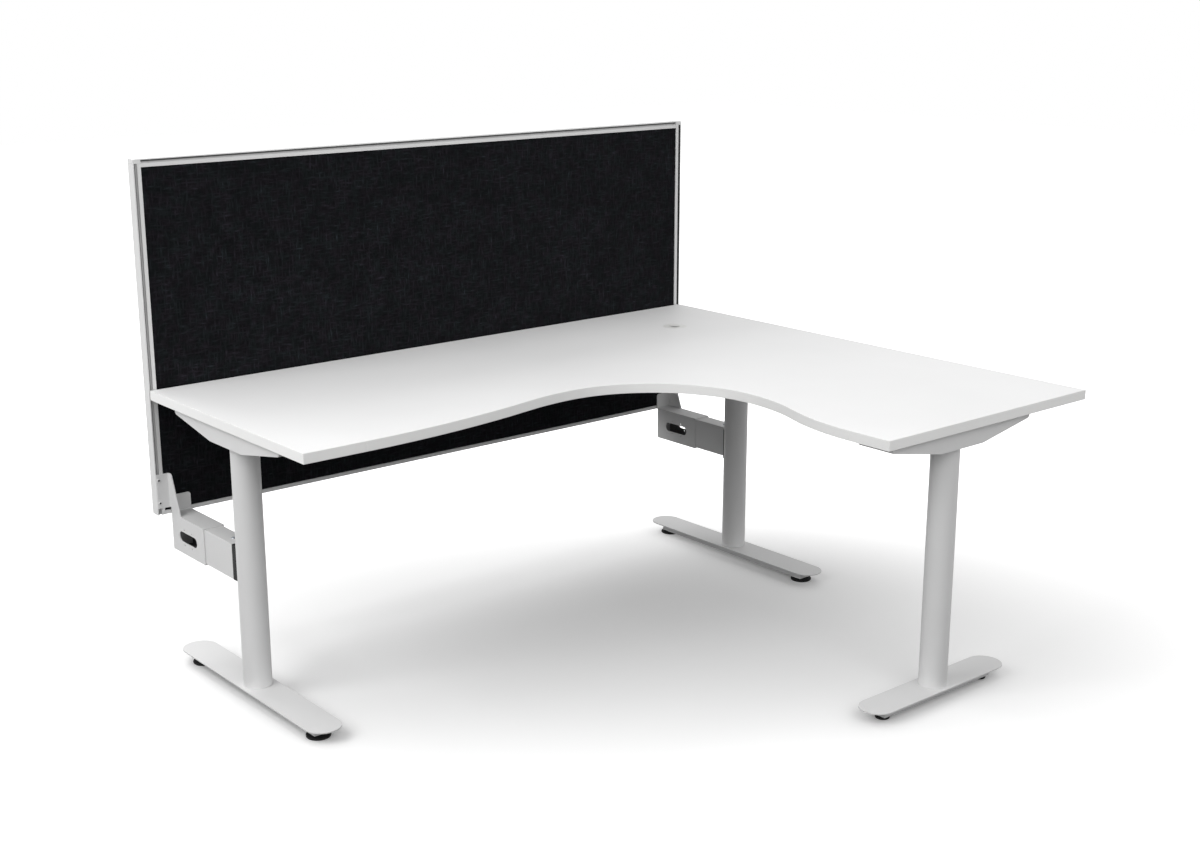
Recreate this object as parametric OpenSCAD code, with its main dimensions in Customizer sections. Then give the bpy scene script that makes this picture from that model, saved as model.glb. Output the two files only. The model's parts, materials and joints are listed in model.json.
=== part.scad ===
// Screened corner workstation: an L-shaped wave worktop on three T-legs, with a
// fabric screen carried behind the long wing on two telescoping arms.
// Millimetres, +Z up, the feet stand on Z = 0.
// The pieces are laid out from the worktop's outer corner: U runs along the
// screen, V runs from the screen towards the user. module stand() turns that
// layout so that the screen is at +Y and the short wing reaches towards -Y.

/* [Worktop] */
// Length of the long wing, along the screen
top_long = 1800; // [1650:10:2100]
// Length of the short wing, along its outer edge
top_short = 1500; // [1420:10:1800]
// Depth of both wings at their square ends
end_depth = 750; // [720:5:800]
// Depth of both wings at the waist beside the knee curve
waist_depth = 675; // [650:5:700]
// Radius of the concave knee curve in the inner corner
knee_r = 315; // [280:5:340]
// Length of the S curve on the long wing
long_sweep = 650; // [560:10:700]
// Length of the S curve on the short wing
short_sweep = 390; // [340:10:420]
// Radius of the hollow half of the long S curve
long_dip_r = 630; // [500:10:900]
// Radius of the hollow half of the short S curve
short_dip_r = 460; // [380:10:520]
// Thickness of the worktop
top_t = 25; // [22:1:30]
// Thickness of the edge band glued round the board
band_t = 2; // [1:0.5:3]
// Height of the worktop's surface above the floor
top_h = 720; // [680:5:760]

/* [Cable grommet] */
// Distance of the grommet's centre from both outer edges
grommet_inset = 250; // [180:5:300]
// Radius of the hole bored through the board
grommet_hole_r = 30; // [27:1:35]
// Width of the collar's flange on the worktop
grommet_flange = 5; // [3:1:8]
// Thickness of the flange, let in flush with the worktop
grommet_lip_t = 2; // [1.5:0.5:3]
// Wall of the collar and of the cap's skirt
grommet_wall = 2; // [1.5:0.5:2.5]
// Depth of the collar below the worktop's surface
collar_depth = 20; // [14:1:22]
// Radius of the cable opening in the cap
cap_opening_r = 15.5; // [12:0.5:18]
// Thickness of the cap
cap_t = 4; // [3:0.5:5]
// Length of the skirt under the cap
cap_skirt = 6; // [4:1:8]

/* [Legs] */
// Distance of the left leg's centre from the end of the long wing
left_leg_inset = 62; // [58:1:90]
// Distance of the corner leg's centre from the outer corner
corner_leg_inset = 100; // [96:1:106]
// Distance of the wing leg's centre from the end of the short wing
wing_leg_inset = 66; // [58:1:90]
// Set-back of the feet from the worktop's front edge
foot_setback = 35; // [20:1:60]
// Length of the feet under the long wing
long_foot_l = 700; // [660:10:720]
// Length of the foot under the short wing
short_foot_l = 500; // [460:10:620]
// Width of the foot plates
foot_w = 90; // [80:2:110]
// Thickness of the foot plates
foot_plate_t = 3; // [2.5:0.5:6]
// Radius of the round columns
column_r = 35; // [33:0.5:38]
// Wall of the round columns
column_wall = 2; // [1.5:0.5:3]
// Thickness of the discs welded into the columns' ends
column_disc_t = 8; // [6:1:12]
// Spacing of the two bolts at each end of a column
column_bolt_pitch = 40; // [34:1:44]
// Radius of the column bolts
column_bolt_r = 5; // [4:1:5]

/* [Foot channels and glides] */
// Width of the box channel under each foot plate
channel_w = 40; // [36:1:50]
// Height of the box channel
channel_h = 24; // [22:1:30]
// Wall of the box channel
channel_wall = 2.5; // [2:0.5:3]
// Distance from the plate's end to the channel's end
channel_inset = 50; // [45:1:55]
// Distance from the plate's end to the glide's axis
glide_inset = 65; // [62:1:75]
// Height of the glides' pads, wound right in
pad_h = 8; // [6:0.5:12]
// Radius of the pads under the long feet
pad_r = 30; // [24:1:32]
// Radius of the pads under the short foot
small_pad_r = 18; // [14:1:19]
// Rounding of the pads' lower edge
pad_round = 2; // [1:0.5:3]
// Radius of the glides' threaded stems
stem_r = 5; // [4:0.5:6]
// Length of the stems above the pads
stem_l = 18; // [15:1:18]
// Length of the threaded bushes in the channels
bush_l = 14; // [12:1:16]
// Radius of the bushes
bush_r = 9; // [8:0.5:10]

/* [Top brackets] */
// Width of the boat-shaped brackets
boat_w = 100; // [90:2:110]
// Length of the brackets along the leg's foot
boat_l = 512; // [440:4:560]
// Depth of the brackets below the worktop
boat_d = 47; // [44:1:60]
// Length of their flat bottom
boat_flat = 155; // [120:5:200]
// Height of their tips
boat_tip_h = 14; // [12:1:18]
// Rounding of the tips
boat_tip_r = 9; // [7:0.5:10]
// Sheet thickness of the brackets and their fixing plates
boat_t = 3; // [2:0.5:3.5]
// Distance of the worktop screws from the bracket's middle, lengthwise
screw_x = 200; // [170:5:210]
// Distance of the worktop screws from the bracket's middle, crosswise
screw_y = 25; // [15:1:30]
// Radius of the worktop screws' shanks
screw_r = 2.25; // [2:0.25:3]
// Depth of the worktop screws in the board
screw_bite = 17; // [12:1:18]

/* [Beams] */
// Width of the two beams under the worktop
beam_w = 30; // [25:1:40]
// Height of the beams
beam_h = 40; // [30:1:43]
// Wall of the beams
beam_wall = 2; // [1.5:0.5:3]
// Width of the plates welded to the beams' ends
beam_plate_w = 76; // [70:1:90]
// Thickness of those plates
beam_plate_t = 4; // [3:0.5:6]
// Spacing of the two bolts at each end of a beam
beam_bolt_pitch = 52; // [50:1:60]
// Radius of the beam, arm and saddle bolts
bolt_r = 4; // [3:0.5:4]

/* [Screen] */
// Height of the screen
screen_h = 902; // [700:10:1100]
// Height of the screen's lower edge above the floor
screen_bottom = 391; // [380:1:400]
// Thickness of the screen's frame
screen_t = 30; // [26:1:40]
// Gap between the screen and the worktop's back edge
screen_gap = 3; // [1:0.5:10]
// Width of the frame's stiles and top rail
frame_w = 20; // [19:0.5:26]
// Height of the frame's bottom rail, between the stiles
bottom_rail_h = 10; // [8:0.5:16]
// Lip outside the accessory groove
groove_lip = 2.5; // [2:0.5:4]
// Width of the accessory groove's mouth
groove_w = 8; // [6:0.5:9]
// Undercut on the inner side of the groove
groove_undercut = 1.5; // [1:0.5:2]
// Depth of the accessory groove
groove_depth = 6; // [5:0.5:7]
// Thickness of the lips that hold what slides in the groove
groove_lip_t = 2; // [1.5:0.5:3]
// Wall of the frame's hollow chamber
frame_wall = 2; // [1.5:0.5:2.5]
// Thickness of the core board
core_t = 16; // [12:1:17]
// Depth that the core board sits in the frame
core_grip = 6; // [4:0.5:6.5]
// Depth that the fabric lies behind the frame's face
fabric_recess = 1; // [0.5:0.25:2]
// Length of the corner pieces' tongues in the frame
tongue_l = 25; // [15:1:35]
// Height of the corner pieces on top of the stiles
corner_cap_h = 11; // [11:0.5:14]

/* [Screen arms] */
// Distance of the arms' outer side from the screen's ends
arm_inset = 34; // [30:1:38]
// Width of the outer sleeves
sleeve_w = 57; // [52:1:60]
// Height of the outer sleeves
sleeve_h = 96; // [90:1:104]
// Height of the sleeves' top above the screen's lower edge
sleeve_rise = 3; // [1:0.5:8]
// Distance from the worktop's back edge to the sleeves' open end
sleeve_reach = 176; // [172:1:190]
// Sheet thickness of sleeves and inner arms
arm_t = 2.5; // [2:0.5:3.5]
// Bend radius of the sleeves' rear corners
sleeve_bend_r = 8; // [5:0.5:10]
// Inner radius of the bend between web and screen plate
web_bend_r = 4; // [2:0.5:6]
// Inner radius of the bend at the rear flange's foot
foot_bend_r = 4; // [2:0.5:6]
// Gap between sleeve and inner arm on every side
slide_gap = 0.3; // [0.2:0.05:0.5]
// Length of inner arm inside the sleeve
arm_overlap = 37; // [34:1:38]
// Distance that the screen can be drawn out
screen_travel = 20; // [10:1:20]
// Length of the cable slot in the sleeves' sides
slot_l = 95; // [80:1:95]
// Height of the cable slot
slot_h = 27; // [20:1:30]
// Distance of the slot's middle from the worktop's back edge
slot_v = 89; // [80:1:89]
// Drop of the slot below the sleeve's middle
slot_drop = 3; // [0:1:6]
// Spacing of the four holes round the slot
socket_pitch = 40; // [36:1:44]
// Radius of those holes
socket_hole_r = 2.2; // [1.7:0.1:2.7]
// Height of the inner flange above the sleeve
flange_h = 45; // [30:1:60]
// Rounding of the flanges' free corners
flange_r = 8; // [4:0.5:12]
// Height of the web between sleeve and screen plate
web_h = 105; // [95:1:130]
// Width of the web where it leaves the sleeve
web_foot = 56; // [40:1:70]
// Width of the web at its top
web_top = 16; // [12:1:20]
// Height of the plate screwed to the screen
plate_h = 90; // [80:1:100]
// Set-back of the plate from the screen's end
plate_setback = 1; // [0.5:0.5:3]
// Spacing of the plate's two screws
plate_screw_pitch = 60; // [50:1:66]
// Radius of the plate screws
plate_screw_r = 2.5; // [2:0.25:2.5]
// Thickness of the clamp plate behind the screen
clamp_t = 3; // [2:0.5:5]

/* [Saddles] */
// Thickness of the saddles at their thinnest, against the column
saddle_t = 12; // [3:0.5:14]
// Distance that the saddles reach round the column
saddle_wrap = 11; // [6:1:14]
// Length of the saddles' tongues inside the inner arms
tongue_in = 50; // [46:1:60]
// Spacing of the saddle bolts, one above the other
saddle_bolt_pitch = 44; // [40:1:46]
// Distance of the screw on top of the arm from the arm's end
top_screw_back = 38; // [30:1:42]
// Rounding of the saddles' top and bottom corners
saddle_round = 6; // [4:0.5:8]

/* [Hidden] */

$fn = 64;
// Segments of the long worktop curves
curve_fn = 360;
// Overshoot that lets a cut pass a face
cut = 1;
// Radial gap of a bolt in its thread
thread_gap = 0.05;
// Radial gap of a bolt in a clearance hole
bolt_gap = 0.5;
// Gap round a piece that is set into another
seat_gap = 0.2;
// Gap round the cap that lifts out of the grommet
cap_gap = 0.3;

white = [0.93, 0.93, 0.92];
steel_paint = [0.83, 0.84, 0.84];
aluminium = [0.80, 0.81, 0.82];
black_plastic = [0.10, 0.10, 0.11];
dark_fabric = [0.09, 0.09, 0.10];
zinc = [0.62, 0.63, 0.64];
board_core = [0.70, 0.62, 0.50];
black_steel = [0.16, 0.16, 0.17];

// Worktop
top_under = top_h - top_t;
knee_c = waist_depth + knee_r;
sweep_rise = end_depth - waist_depth;

// Grommet
collar_r = grommet_hole_r - seat_gap;
collar_bore_r = collar_r - grommet_wall;
cap_r = collar_bore_r - cap_gap;
ledge_r = collar_bore_r - 2;
grommet_r = grommet_hole_r + grommet_flange;
cap_under = top_h - cap_t;

// Legs
long_leg_v = end_depth - foot_setback - long_foot_l / 2;
wing_leg_u = end_depth - foot_setback - short_foot_l / 2;
left_leg_u = top_long - left_leg_inset;
wing_leg_v = top_short - wing_leg_inset;
channel_top = pad_h + channel_h;
foot_top = channel_top + foot_plate_t;
column_top = top_under - boat_d;
bolt_head_r = 8;
bolt_head_h = 6;
small_head_r = 6.5;
small_head_h = 5;
foot_access_r = 10;

// Boat bracket
boat_run = (boat_l - boat_flat) / 2;
boat_slope = atan((boat_d - boat_tip_h) / boat_run);
screw_head_r = 4.5;
screw_head_h = 3;
screw_access_r = 7;
weld_nut_r = 7;
weld_nut_l = 6;

// Beams
long_beam_from = corner_leg_inset + boat_w / 2;
long_beam_to = left_leg_u - boat_w / 2;
wing_beam_from = long_leg_v + beam_w / 2;
wing_beam_to = wing_leg_v - boat_w / 2;
beam_mid_z = top_under - beam_h / 2;
beam_bolt_l = 16;

// Screen
screen_front = -screen_gap;
screen_rear = screen_front - screen_t;
screen_top = screen_bottom + screen_h;
groove_mid = groove_lip + groove_w / 2;
chamber_from = groove_depth + frame_wall;
chamber_t = screen_t - 2 * chamber_from;
core_gap = 0.2;
fabric_gap = 0.3;
fabric_t = (screen_t - core_t) / 2 - fabric_recess;

// Arms, measured inwards from each end of the screen
arm_mid = arm_inset + sleeve_w / 2;
sleeve_top = screen_bottom + sleeve_rise;
sleeve_base = sleeve_top - sleeve_h;
sleeve_mid_z = sleeve_base + sleeve_h / 2;
slot_z = sleeve_mid_z - slot_drop;
inner_w = sleeve_w - 2 * (arm_t + slide_gap);
inner_h = sleeve_h - 2 * (arm_t + slide_gap);
inner_from = sleeve_reach - arm_overlap;
inner_to = long_leg_v - column_r - saddle_t;
saddle_depth = saddle_t + saddle_wrap;
plate_mid_z = sleeve_top + web_h - plate_h / 2;
web_lean = atan((web_foot - web_top) / web_h);
lock_v = inner_from + 7;
lock_r = 3;
lock_head_r = 6;
lock_head_h = 5;
plate_head_r = 4.5;
plate_head_h = 2.5;

// Saddles
tongue_w = inner_w - 2 * (arm_t + seat_gap);
tongue_h = inner_h - 2 * (arm_t + seat_gap);
saddle_bore_l = tongue_in - 20;
head_l = 8;
flat_head_h = 4;
corner_bolt_s = corner_leg_inset - 4;
corner_saddle_to = corner_leg_inset + 6;
nut_r = 5.5;
nut_l = 15;
nut_sink = 1.6;
saddle_fit = 0.05;

// Middle of the whole workstation along V
middle_v = (top_short + screen_rear - clamp_t) / 2;

// Layout helpers

module stand() {
    translate([top_long / 2, middle_v, 0])
        rotate([0, 0, 180])
            children();
}

// Mirrors what is laid out from the corner end of the screen to its left end
module at_left() {
    translate([top_long, 0, 0])
        mirror([1, 0, 0])
            children();
}

// Leg frames: X runs along the foot, towards the user
module left_leg() {
    translate([left_leg_u, long_leg_v, 0])
        rotate([0, 0, 90])
            children();
}

module corner_leg() {
    translate([corner_leg_inset, long_leg_v, 0])
        rotate([0, 0, 90])
            children();
}

module wing_leg() {
    translate([wing_leg_u, wing_leg_v, 0])
        children();
}

// A box given by two opposite corners
module box(low, high) {
    translate(low)
        cube(high - low);
}

// A rod along V, from v to v + l
module rod_v(s, v, z, r, l) {
    translate([s, v, z])
        rotate([-90, 0, 0])
            cylinder(r = r, h = l);
}

// A rod along U, from u to u + l
module rod_u(u, v, z, r, l) {
    translate([u, v, z])
        rotate([0, 90, 0])
            cylinder(r = r, h = l);
}

// A hexagon head along V
module hex_v(s, v, z, r, l) {
    translate([s, v, z])
        rotate([-90, 0, 0])
            cylinder(r = r, h = l, $fn = 6);
}

// Worktop

// Plan of one wing, inset by e: X runs along the wing, Y across it
module wing_plan(wing_l, sweep_l, dip_r, e) {
    sum_r = (sweep_l * sweep_l + sweep_rise * sweep_rise) / (2 * sweep_rise);
    swell_r = sum_r - dip_r;
    turn = asin(sweep_l / sum_r);
    join_x = knee_c + (dip_r + e) * sin(turn);
    join_y = waist_depth + dip_r - (dip_r + e) * cos(turn);
    full_x = knee_c + sweep_l;
    translate([e, e])
        square([wing_l - 2 * e, waist_depth - 2 * e]);
    translate([full_x, e])
        square([wing_l - e - full_x, end_depth - 2 * e]);
    intersection() {
        translate([join_x, e])
            square([full_x - join_x, end_depth - 2 * e]);
        translate([full_x, end_depth - swell_r])
            circle(r = swell_r - e, $fn = curve_fn);
    }
    difference() {
        translate([knee_c, e])
            square([join_x - knee_c, join_y - e]);
        translate([knee_c, waist_depth + dip_r])
            circle(r = dip_r + e, $fn = curve_fn);
    }
}

// Plan of the whole worktop, inset by e from its finished edge
module top_plan(e) {
    wing_plan(top_long, long_sweep, long_dip_r, e);
    mirror([1, -1, 0])
        wing_plan(top_short, short_sweep, short_dip_r, e);
    difference() {
        translate([e, e])
            square(knee_c - e);
        translate([knee_c, knee_c])
            circle(r = knee_r + e, $fn = curve_fn);
    }
}

module screw_places() {
    for (x = [-screw_x, screw_x], y = [-screw_y, screw_y])
        translate([x, y, 0])
            children();
}

module screw_pilots() {
    screw_places()
        translate([0, 0, top_under - cut])
            cylinder(r = screw_r + thread_gap, h = screw_bite + 2 * cut);
}

module worktop_board() {
    color(white)
        difference() {
            translate([0, 0, top_under])
                linear_extrude(top_t)
                    top_plan(band_t);
            at_grommet() {
                translate([0, 0, top_under - cut])
                    cylinder(r = grommet_hole_r, h = top_t + 2 * cut);
                translate([0, 0, top_h - grommet_lip_t])
                    cylinder(r = grommet_r + seat_gap, h = grommet_lip_t + cut);
            }
            left_leg()
                screw_pilots();
            corner_leg()
                screw_pilots();
            wing_leg()
                screw_pilots();
        }
}

module edge_band() {
    color(white)
        translate([0, 0, top_under])
            linear_extrude(top_t)
                difference() {
                    top_plan(0);
                    top_plan(band_t);
                }
}

// Grommet

module at_grommet() {
    translate([grommet_inset, grommet_inset, 0])
        children();
}

module grommet_collar() {
    color(white)
        at_grommet()
            rotate_extrude()
                difference() {
                    union() {
                        translate([0, top_h - grommet_lip_t])
                            square([grommet_r, grommet_lip_t]);
                        translate([0, top_h - collar_depth])
                            square([collar_r, collar_depth]);
                    }
                    translate([0, cap_under])
                        square([collar_bore_r, cap_t + cut]);
                    translate([0, cap_under - grommet_wall - cut])
                        square([ledge_r, grommet_wall + 2 * cut]);
                    translate([0, top_h - collar_depth - cut])
                        square([collar_bore_r, cap_under - grommet_wall - top_h + collar_depth + cut]);
                }
}

module grommet_cap() {
    color(white)
        at_grommet()
            rotate_extrude() {
                translate([cap_opening_r, cap_under])
                    square([cap_r - cap_opening_r, cap_t]);
                translate([ledge_r - cap_gap - grommet_wall, cap_under - cap_skirt])
                    square([grommet_wall, cap_skirt]);
            }
}

// Legs

// Tube closed by a welded disc at each end, tapped for the bolts
module column() {
    difference() {
        translate([0, 0, foot_top])
            cylinder(r = column_r, h = column_top - foot_top);
        translate([0, 0, foot_top + column_disc_t])
            cylinder(r = column_r - column_wall, h = column_top - foot_top - 2 * column_disc_t);
        for (x = [-1, 1])
            translate([x * column_bolt_pitch / 2, 0, foot_top - cut])
                cylinder(r = column_bolt_r + thread_gap, h = column_top - foot_top + 2 * cut);
    }
}

// Holes for the rivet nuts, on the line s from the screen's end
module nut_holes(s) {
    for (side = [-1, 1])
        rod_v(s, long_leg_v - column_r - cut, sleeve_mid_z + side * saddle_bolt_pitch / 2,
              nut_r + thread_gap, nut_l);
}

module left_column() {
    color(steel_paint)
        difference() {
            left_leg()
                column();
            at_left()
                nut_holes(left_leg_inset);
        }
}

module corner_column() {
    color(steel_paint)
        difference() {
            corner_leg()
                column();
            nut_holes(corner_bolt_s);
        }
}

module wing_column() {
    color(steel_paint)
        wing_leg()
            column();
}

// Side outline of a boat bracket below the worktop, inset by e
module boat_outline(e) {
    intersection() {
        boat_shape(e);
        translate([-boat_l / 2, -boat_d])
            square([boat_l, boat_d]);
    }
}

// The same with whole circles at the tips
module boat_shape(e) {
    tip_x = boat_l / 2 - boat_tip_r;
    tip_z = -boat_tip_h - boat_tip_r * tan(boat_slope) + boat_tip_r / cos(boat_slope);
    tip_r = boat_tip_r - e;
    flat_x = boat_flat / 2 - e * tan(boat_slope / 2);
    touch_x = tip_x + tip_r * sin(boat_slope);
    touch_z = tip_z - tip_r * cos(boat_slope);
    polygon([
        [-tip_x - tip_r, 0], [-tip_x - tip_r, tip_z], [-touch_x, touch_z],
        [-flat_x, -boat_d + e], [flat_x, -boat_d + e],
        [touch_x, touch_z], [tip_x + tip_r, tip_z], [tip_x + tip_r, 0]
    ]);
    for (side = [-1, 1])
        translate([side * tip_x, tip_z])
            circle(r = tip_r);
}

// Open-topped boat of bent sheet; beam_side is where a beam is bolted on
module top_bracket(beam_side) {
    difference() {
        union() {
            difference() {
                translate([0, boat_w / 2, top_under])
                    rotate([90, 0, 0])
                        linear_extrude(boat_w)
                            boat_outline(0);
                translate([0, boat_w / 2 - boat_t, top_under])
                    rotate([90, 0, 0])
                        linear_extrude(boat_w - 2 * boat_t)
                            union() {
                                boat_outline(boat_t);
                                translate([-boat_l / 2 + boat_t, -cut])
                                    square([boat_l - 2 * boat_t, 2 * cut]);
                            }
            }
            for (x = [-1, 1])
                translate([x * beam_bolt_pitch / 2, beam_side * (boat_w / 2 - boat_t), beam_mid_z])
                    rotate([beam_side * 90, 0, 0])
                        cylinder(r = weld_nut_r, h = weld_nut_l);
        }
        for (x = [-1, 1])
            translate([x * beam_bolt_pitch / 2, beam_side * (boat_w / 2 + cut), beam_mid_z])
                rotate([beam_side * 90, 0, 0])
                    cylinder(r = bolt_r + thread_gap, h = boat_t + weld_nut_l + 2 * cut);
        for (x = [-1, 1])
            translate([x * column_bolt_pitch / 2, 0, column_top - cut])
                cylinder(r = column_bolt_r + bolt_gap, h = boat_t + 2 * cut);
        screw_places()
            translate([0, 0, column_top - cut])
                cylinder(r = screw_access_r, h = boat_d - boat_t);
    }
}

module left_top_bracket() {
    color(steel_paint)
        left_leg()
            top_bracket(1);
}

module corner_top_bracket() {
    color(steel_paint)
        corner_leg()
            top_bracket(-1);
}

module wing_top_bracket() {
    color(steel_paint)
        wing_leg()
            top_bracket(-1);
}

// Flat plate that closes the boat under the worktop
module fixing_plate() {
    half_l = boat_l / 2 - boat_t - seat_gap;
    half_w = boat_w / 2 - boat_t - seat_gap;
    difference() {
        box([-half_l, -half_w, top_under - boat_t], [half_l, half_w, top_under]);
        screw_places()
            translate([0, 0, top_under - boat_t - cut])
                cylinder(r = screw_r + bolt_gap, h = boat_t + 2 * cut);
        for (x = [-1, 1])
            translate([x * column_bolt_pitch / 2, 0, top_under - boat_t - cut])
                cylinder(r = foot_access_r, h = boat_t + 2 * cut);
    }
}

module left_fixing_plate() {
    color(steel_paint)
        left_leg()
            fixing_plate();
}

module corner_fixing_plate() {
    color(steel_paint)
        corner_leg()
            fixing_plate();
}

module wing_fixing_plate() {
    color(steel_paint)
        wing_leg()
            fixing_plate();
}

// Flat bar with half-round ends
module foot_plate(foot_l) {
    difference() {
        translate([0, 0, channel_top])
            linear_extrude(foot_plate_t)
                union() {
                    square([foot_l - foot_w, foot_w], center = true);
                    for (side = [-1, 1])
                        translate([side * (foot_l - foot_w) / 2, 0])
                            circle(r = foot_w / 2, $fn = 96);
                }
        for (x = [-1, 1])
            translate([x * column_bolt_pitch / 2, 0, channel_top - cut])
                cylinder(r = column_bolt_r + bolt_gap, h = foot_plate_t + 2 * cut);
    }
}

module left_foot_plate() {
    color(steel_paint)
        left_leg()
            foot_plate(long_foot_l);
}

module corner_foot_plate() {
    color(steel_paint)
        corner_leg()
            foot_plate(long_foot_l);
}

module wing_foot_plate() {
    color(steel_paint)
        wing_leg()
            foot_plate(short_foot_l);
}

// Closed box channel with a tapped bush over each glide
module foot_channel(foot_l) {
    half_l = foot_l / 2 - channel_inset;
    glide_x = foot_l / 2 - glide_inset;
    difference() {
        union() {
            difference() {
                box([-half_l, -channel_w / 2, pad_h], [half_l, channel_w / 2, channel_top]);
                box([-half_l + channel_wall, -channel_w / 2 + channel_wall, pad_h + channel_wall],
                    [half_l - channel_wall, channel_w / 2 - channel_wall, channel_top - channel_wall]);
            }
            for (side = [-1, 1])
                translate([side * glide_x, 0, pad_h])
                    cylinder(r = bush_r, h = bush_l);
        }
        for (side = [-1, 1])
            translate([side * glide_x, 0, pad_h - cut])
                cylinder(r = stem_r + thread_gap, h = bush_l + 2 * cut);
        for (x = [-1, 1])
            translate([x * column_bolt_pitch / 2, 0, 0]) {
                translate([0, 0, pad_h - cut])
                    cylinder(r = foot_access_r, h = channel_wall + 2 * cut);
                translate([0, 0, channel_top - channel_wall - cut])
                    cylinder(r = column_bolt_r + bolt_gap, h = channel_wall + 2 * cut);
            }
    }
}

module left_foot_channel() {
    color(steel_paint)
        left_leg()
            foot_channel(long_foot_l);
}

module corner_foot_channel() {
    color(steel_paint)
        corner_leg()
            foot_channel(long_foot_l);
}

module wing_foot_channel() {
    color(steel_paint)
        wing_leg()
            foot_channel(short_foot_l);
}

// Pad with a rounded lower edge on a threaded stem
module glide(foot_l, side, r) {
    color(black_plastic)
        translate([side * (foot_l / 2 - glide_inset), 0, 0])
            rotate_extrude()
                union() {
                    square([r - pad_round, pad_h]);
                    translate([0, pad_round])
                        square([r, pad_h - pad_round]);
                    translate([r - pad_round, pad_round])
                        circle(r = pad_round, $fn = 32);
                    square([stem_r, pad_h + stem_l]);
                }
}

module left_front_glide() {
    left_leg()
        glide(long_foot_l, 1, pad_r);
}

module left_rear_glide() {
    left_leg()
        glide(long_foot_l, -1, pad_r);
}

module corner_front_glide() {
    corner_leg()
        glide(long_foot_l, 1, pad_r);
}

module corner_rear_glide() {
    corner_leg()
        glide(long_foot_l, -1, pad_r);
}

module wing_front_glide() {
    wing_leg()
        glide(short_foot_l, 1, small_pad_r);
}

module wing_rear_glide() {
    wing_leg()
        glide(short_foot_l, -1, small_pad_r);
}

// Beams

// Rectangular tube along X, between the end plates of a beam that is l long
module beam(l) {
    half_w = beam_w / 2;
    under = top_under - beam_h;
    difference() {
        box([beam_plate_t, -half_w, under], [l - beam_plate_t, half_w, top_under]);
        box([-cut, -half_w + beam_wall, under + beam_wall],
            [l + cut, half_w - beam_wall, top_under - beam_wall]);
    }
}

// Plate welded across a beam's end, from X = 0 inwards
module beam_plate() {
    half_plate = beam_plate_w / 2;
    difference() {
        box([0, -half_plate, top_under - beam_h], [beam_plate_t, half_plate, top_under]);
        for (y = [-1, 1])
            rod_u(-cut, y * beam_bolt_pitch / 2, beam_mid_z, bolt_r + bolt_gap,
                  beam_plate_t + 2 * cut);
    }
}

// Places what is laid out at a beam's end at all four ends
module beam_ends() {
    translate([long_beam_from, long_leg_v, 0])
        children();
    translate([long_beam_to, long_leg_v, 0])
        mirror([1, 0, 0])
            children();
    translate([wing_leg_u, wing_beam_from, 0])
        rotate([0, 0, 90])
            children();
    translate([wing_leg_u, wing_beam_to, 0])
        rotate([0, 0, -90])
            children();
}

module beam_end_plates() {
    color(steel_paint)
        beam_ends()
            beam_plate();
}

module long_beam() {
    color(steel_paint)
        difference() {
            translate([long_beam_from, long_leg_v, 0])
                beam(long_beam_to - long_beam_from);
            for (side = [-1, 1])
                rod_v(wing_leg_u + side * beam_bolt_pitch / 2, wing_beam_from - beam_wall - cut,
                      beam_mid_z, bolt_r + thread_gap, beam_wall + 2 * cut);
        }
}

module wing_beam() {
    color(steel_paint)
        translate([wing_leg_u, wing_beam_from, 0])
            rotate([0, 0, 90])
                beam(wing_beam_to - wing_beam_from);
}

// Screen frame

// Section of stile and top rail: X runs inwards from the outer edge, Y through the frame
module frame_section() {
    difference() {
        square([frame_w, screen_t]);
        for (side = [0, 1])
            translate([0, side * screen_t])
                mirror([0, side]) {
                    translate([groove_lip, -cut])
                        square([groove_w, groove_depth + cut]);
                    translate([groove_lip, groove_lip_t])
                        square([groove_w + groove_undercut, groove_depth - groove_lip_t]);
                }
        translate([groove_lip, chamber_from])
            square([groove_w, chamber_t]);
        translate([frame_w - core_grip, (screen_t - core_t) / 2 - core_gap])
            square([core_grip + cut, core_t + 2 * core_gap]);
    }
}

// Holes for the two screws that clamp a bracket to the screen
module plate_screw_holes(r) {
    for (side = [-1, 1])
        rod_v(groove_mid, screen_rear - clamp_t - cut, plate_mid_z + side * plate_screw_pitch / 2,
              r, screen_t + clamp_t + arm_t + 2 * cut);
}

module stile() {
    difference() {
        translate([0, screen_rear, screen_bottom])
            linear_extrude(screen_h - corner_cap_h)
                frame_section();
        plate_screw_holes(plate_screw_r + bolt_gap);
    }
}

module screen_left_stile() {
    color(aluminium)
        at_left()
            stile();
}

module screen_corner_stile() {
    color(aluminium)
        stile();
}

module screen_top_rail() {
    color(aluminium)
        translate([frame_w, screen_rear, screen_top])
            rotate([0, 90, 0])
                linear_extrude(top_long - 2 * frame_w)
                    frame_section();
}

module screen_bottom_rail() {
    color(aluminium)
        translate([top_long - frame_w, screen_rear, screen_bottom])
            rotate([0, -90, 0])
                linear_extrude(top_long - 2 * frame_w)
                    difference() {
                        square([bottom_rail_h, screen_t]);
                        translate([bottom_rail_h - core_grip, (screen_t - core_t) / 2 - core_gap])
                            square([core_grip + cut, core_t + 2 * core_gap]);
                    }
}

// Corner block with tongues that slide into the hollow chambers
module corner_piece() {
    tongue = groove_w - 2 * seat_gap;
    tongue_from = screen_rear + chamber_from + seat_gap;
    tongue_to = screen_rear + chamber_from + chamber_t - seat_gap;
    box([0, screen_rear, screen_top - corner_cap_h], [frame_w, screen_front, screen_top]);
    box([groove_lip + seat_gap, tongue_from, screen_top - corner_cap_h - tongue_l],
        [groove_lip + seat_gap + tongue, tongue_to, screen_top - corner_cap_h]);
    box([frame_w, tongue_from, screen_top - groove_lip - seat_gap - tongue],
        [frame_w + tongue_l, tongue_to, screen_top - groove_lip - seat_gap]);
}

module screen_corner_pieces() {
    color(aluminium) {
        corner_piece();
        at_left()
            corner_piece();
    }
}

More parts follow.
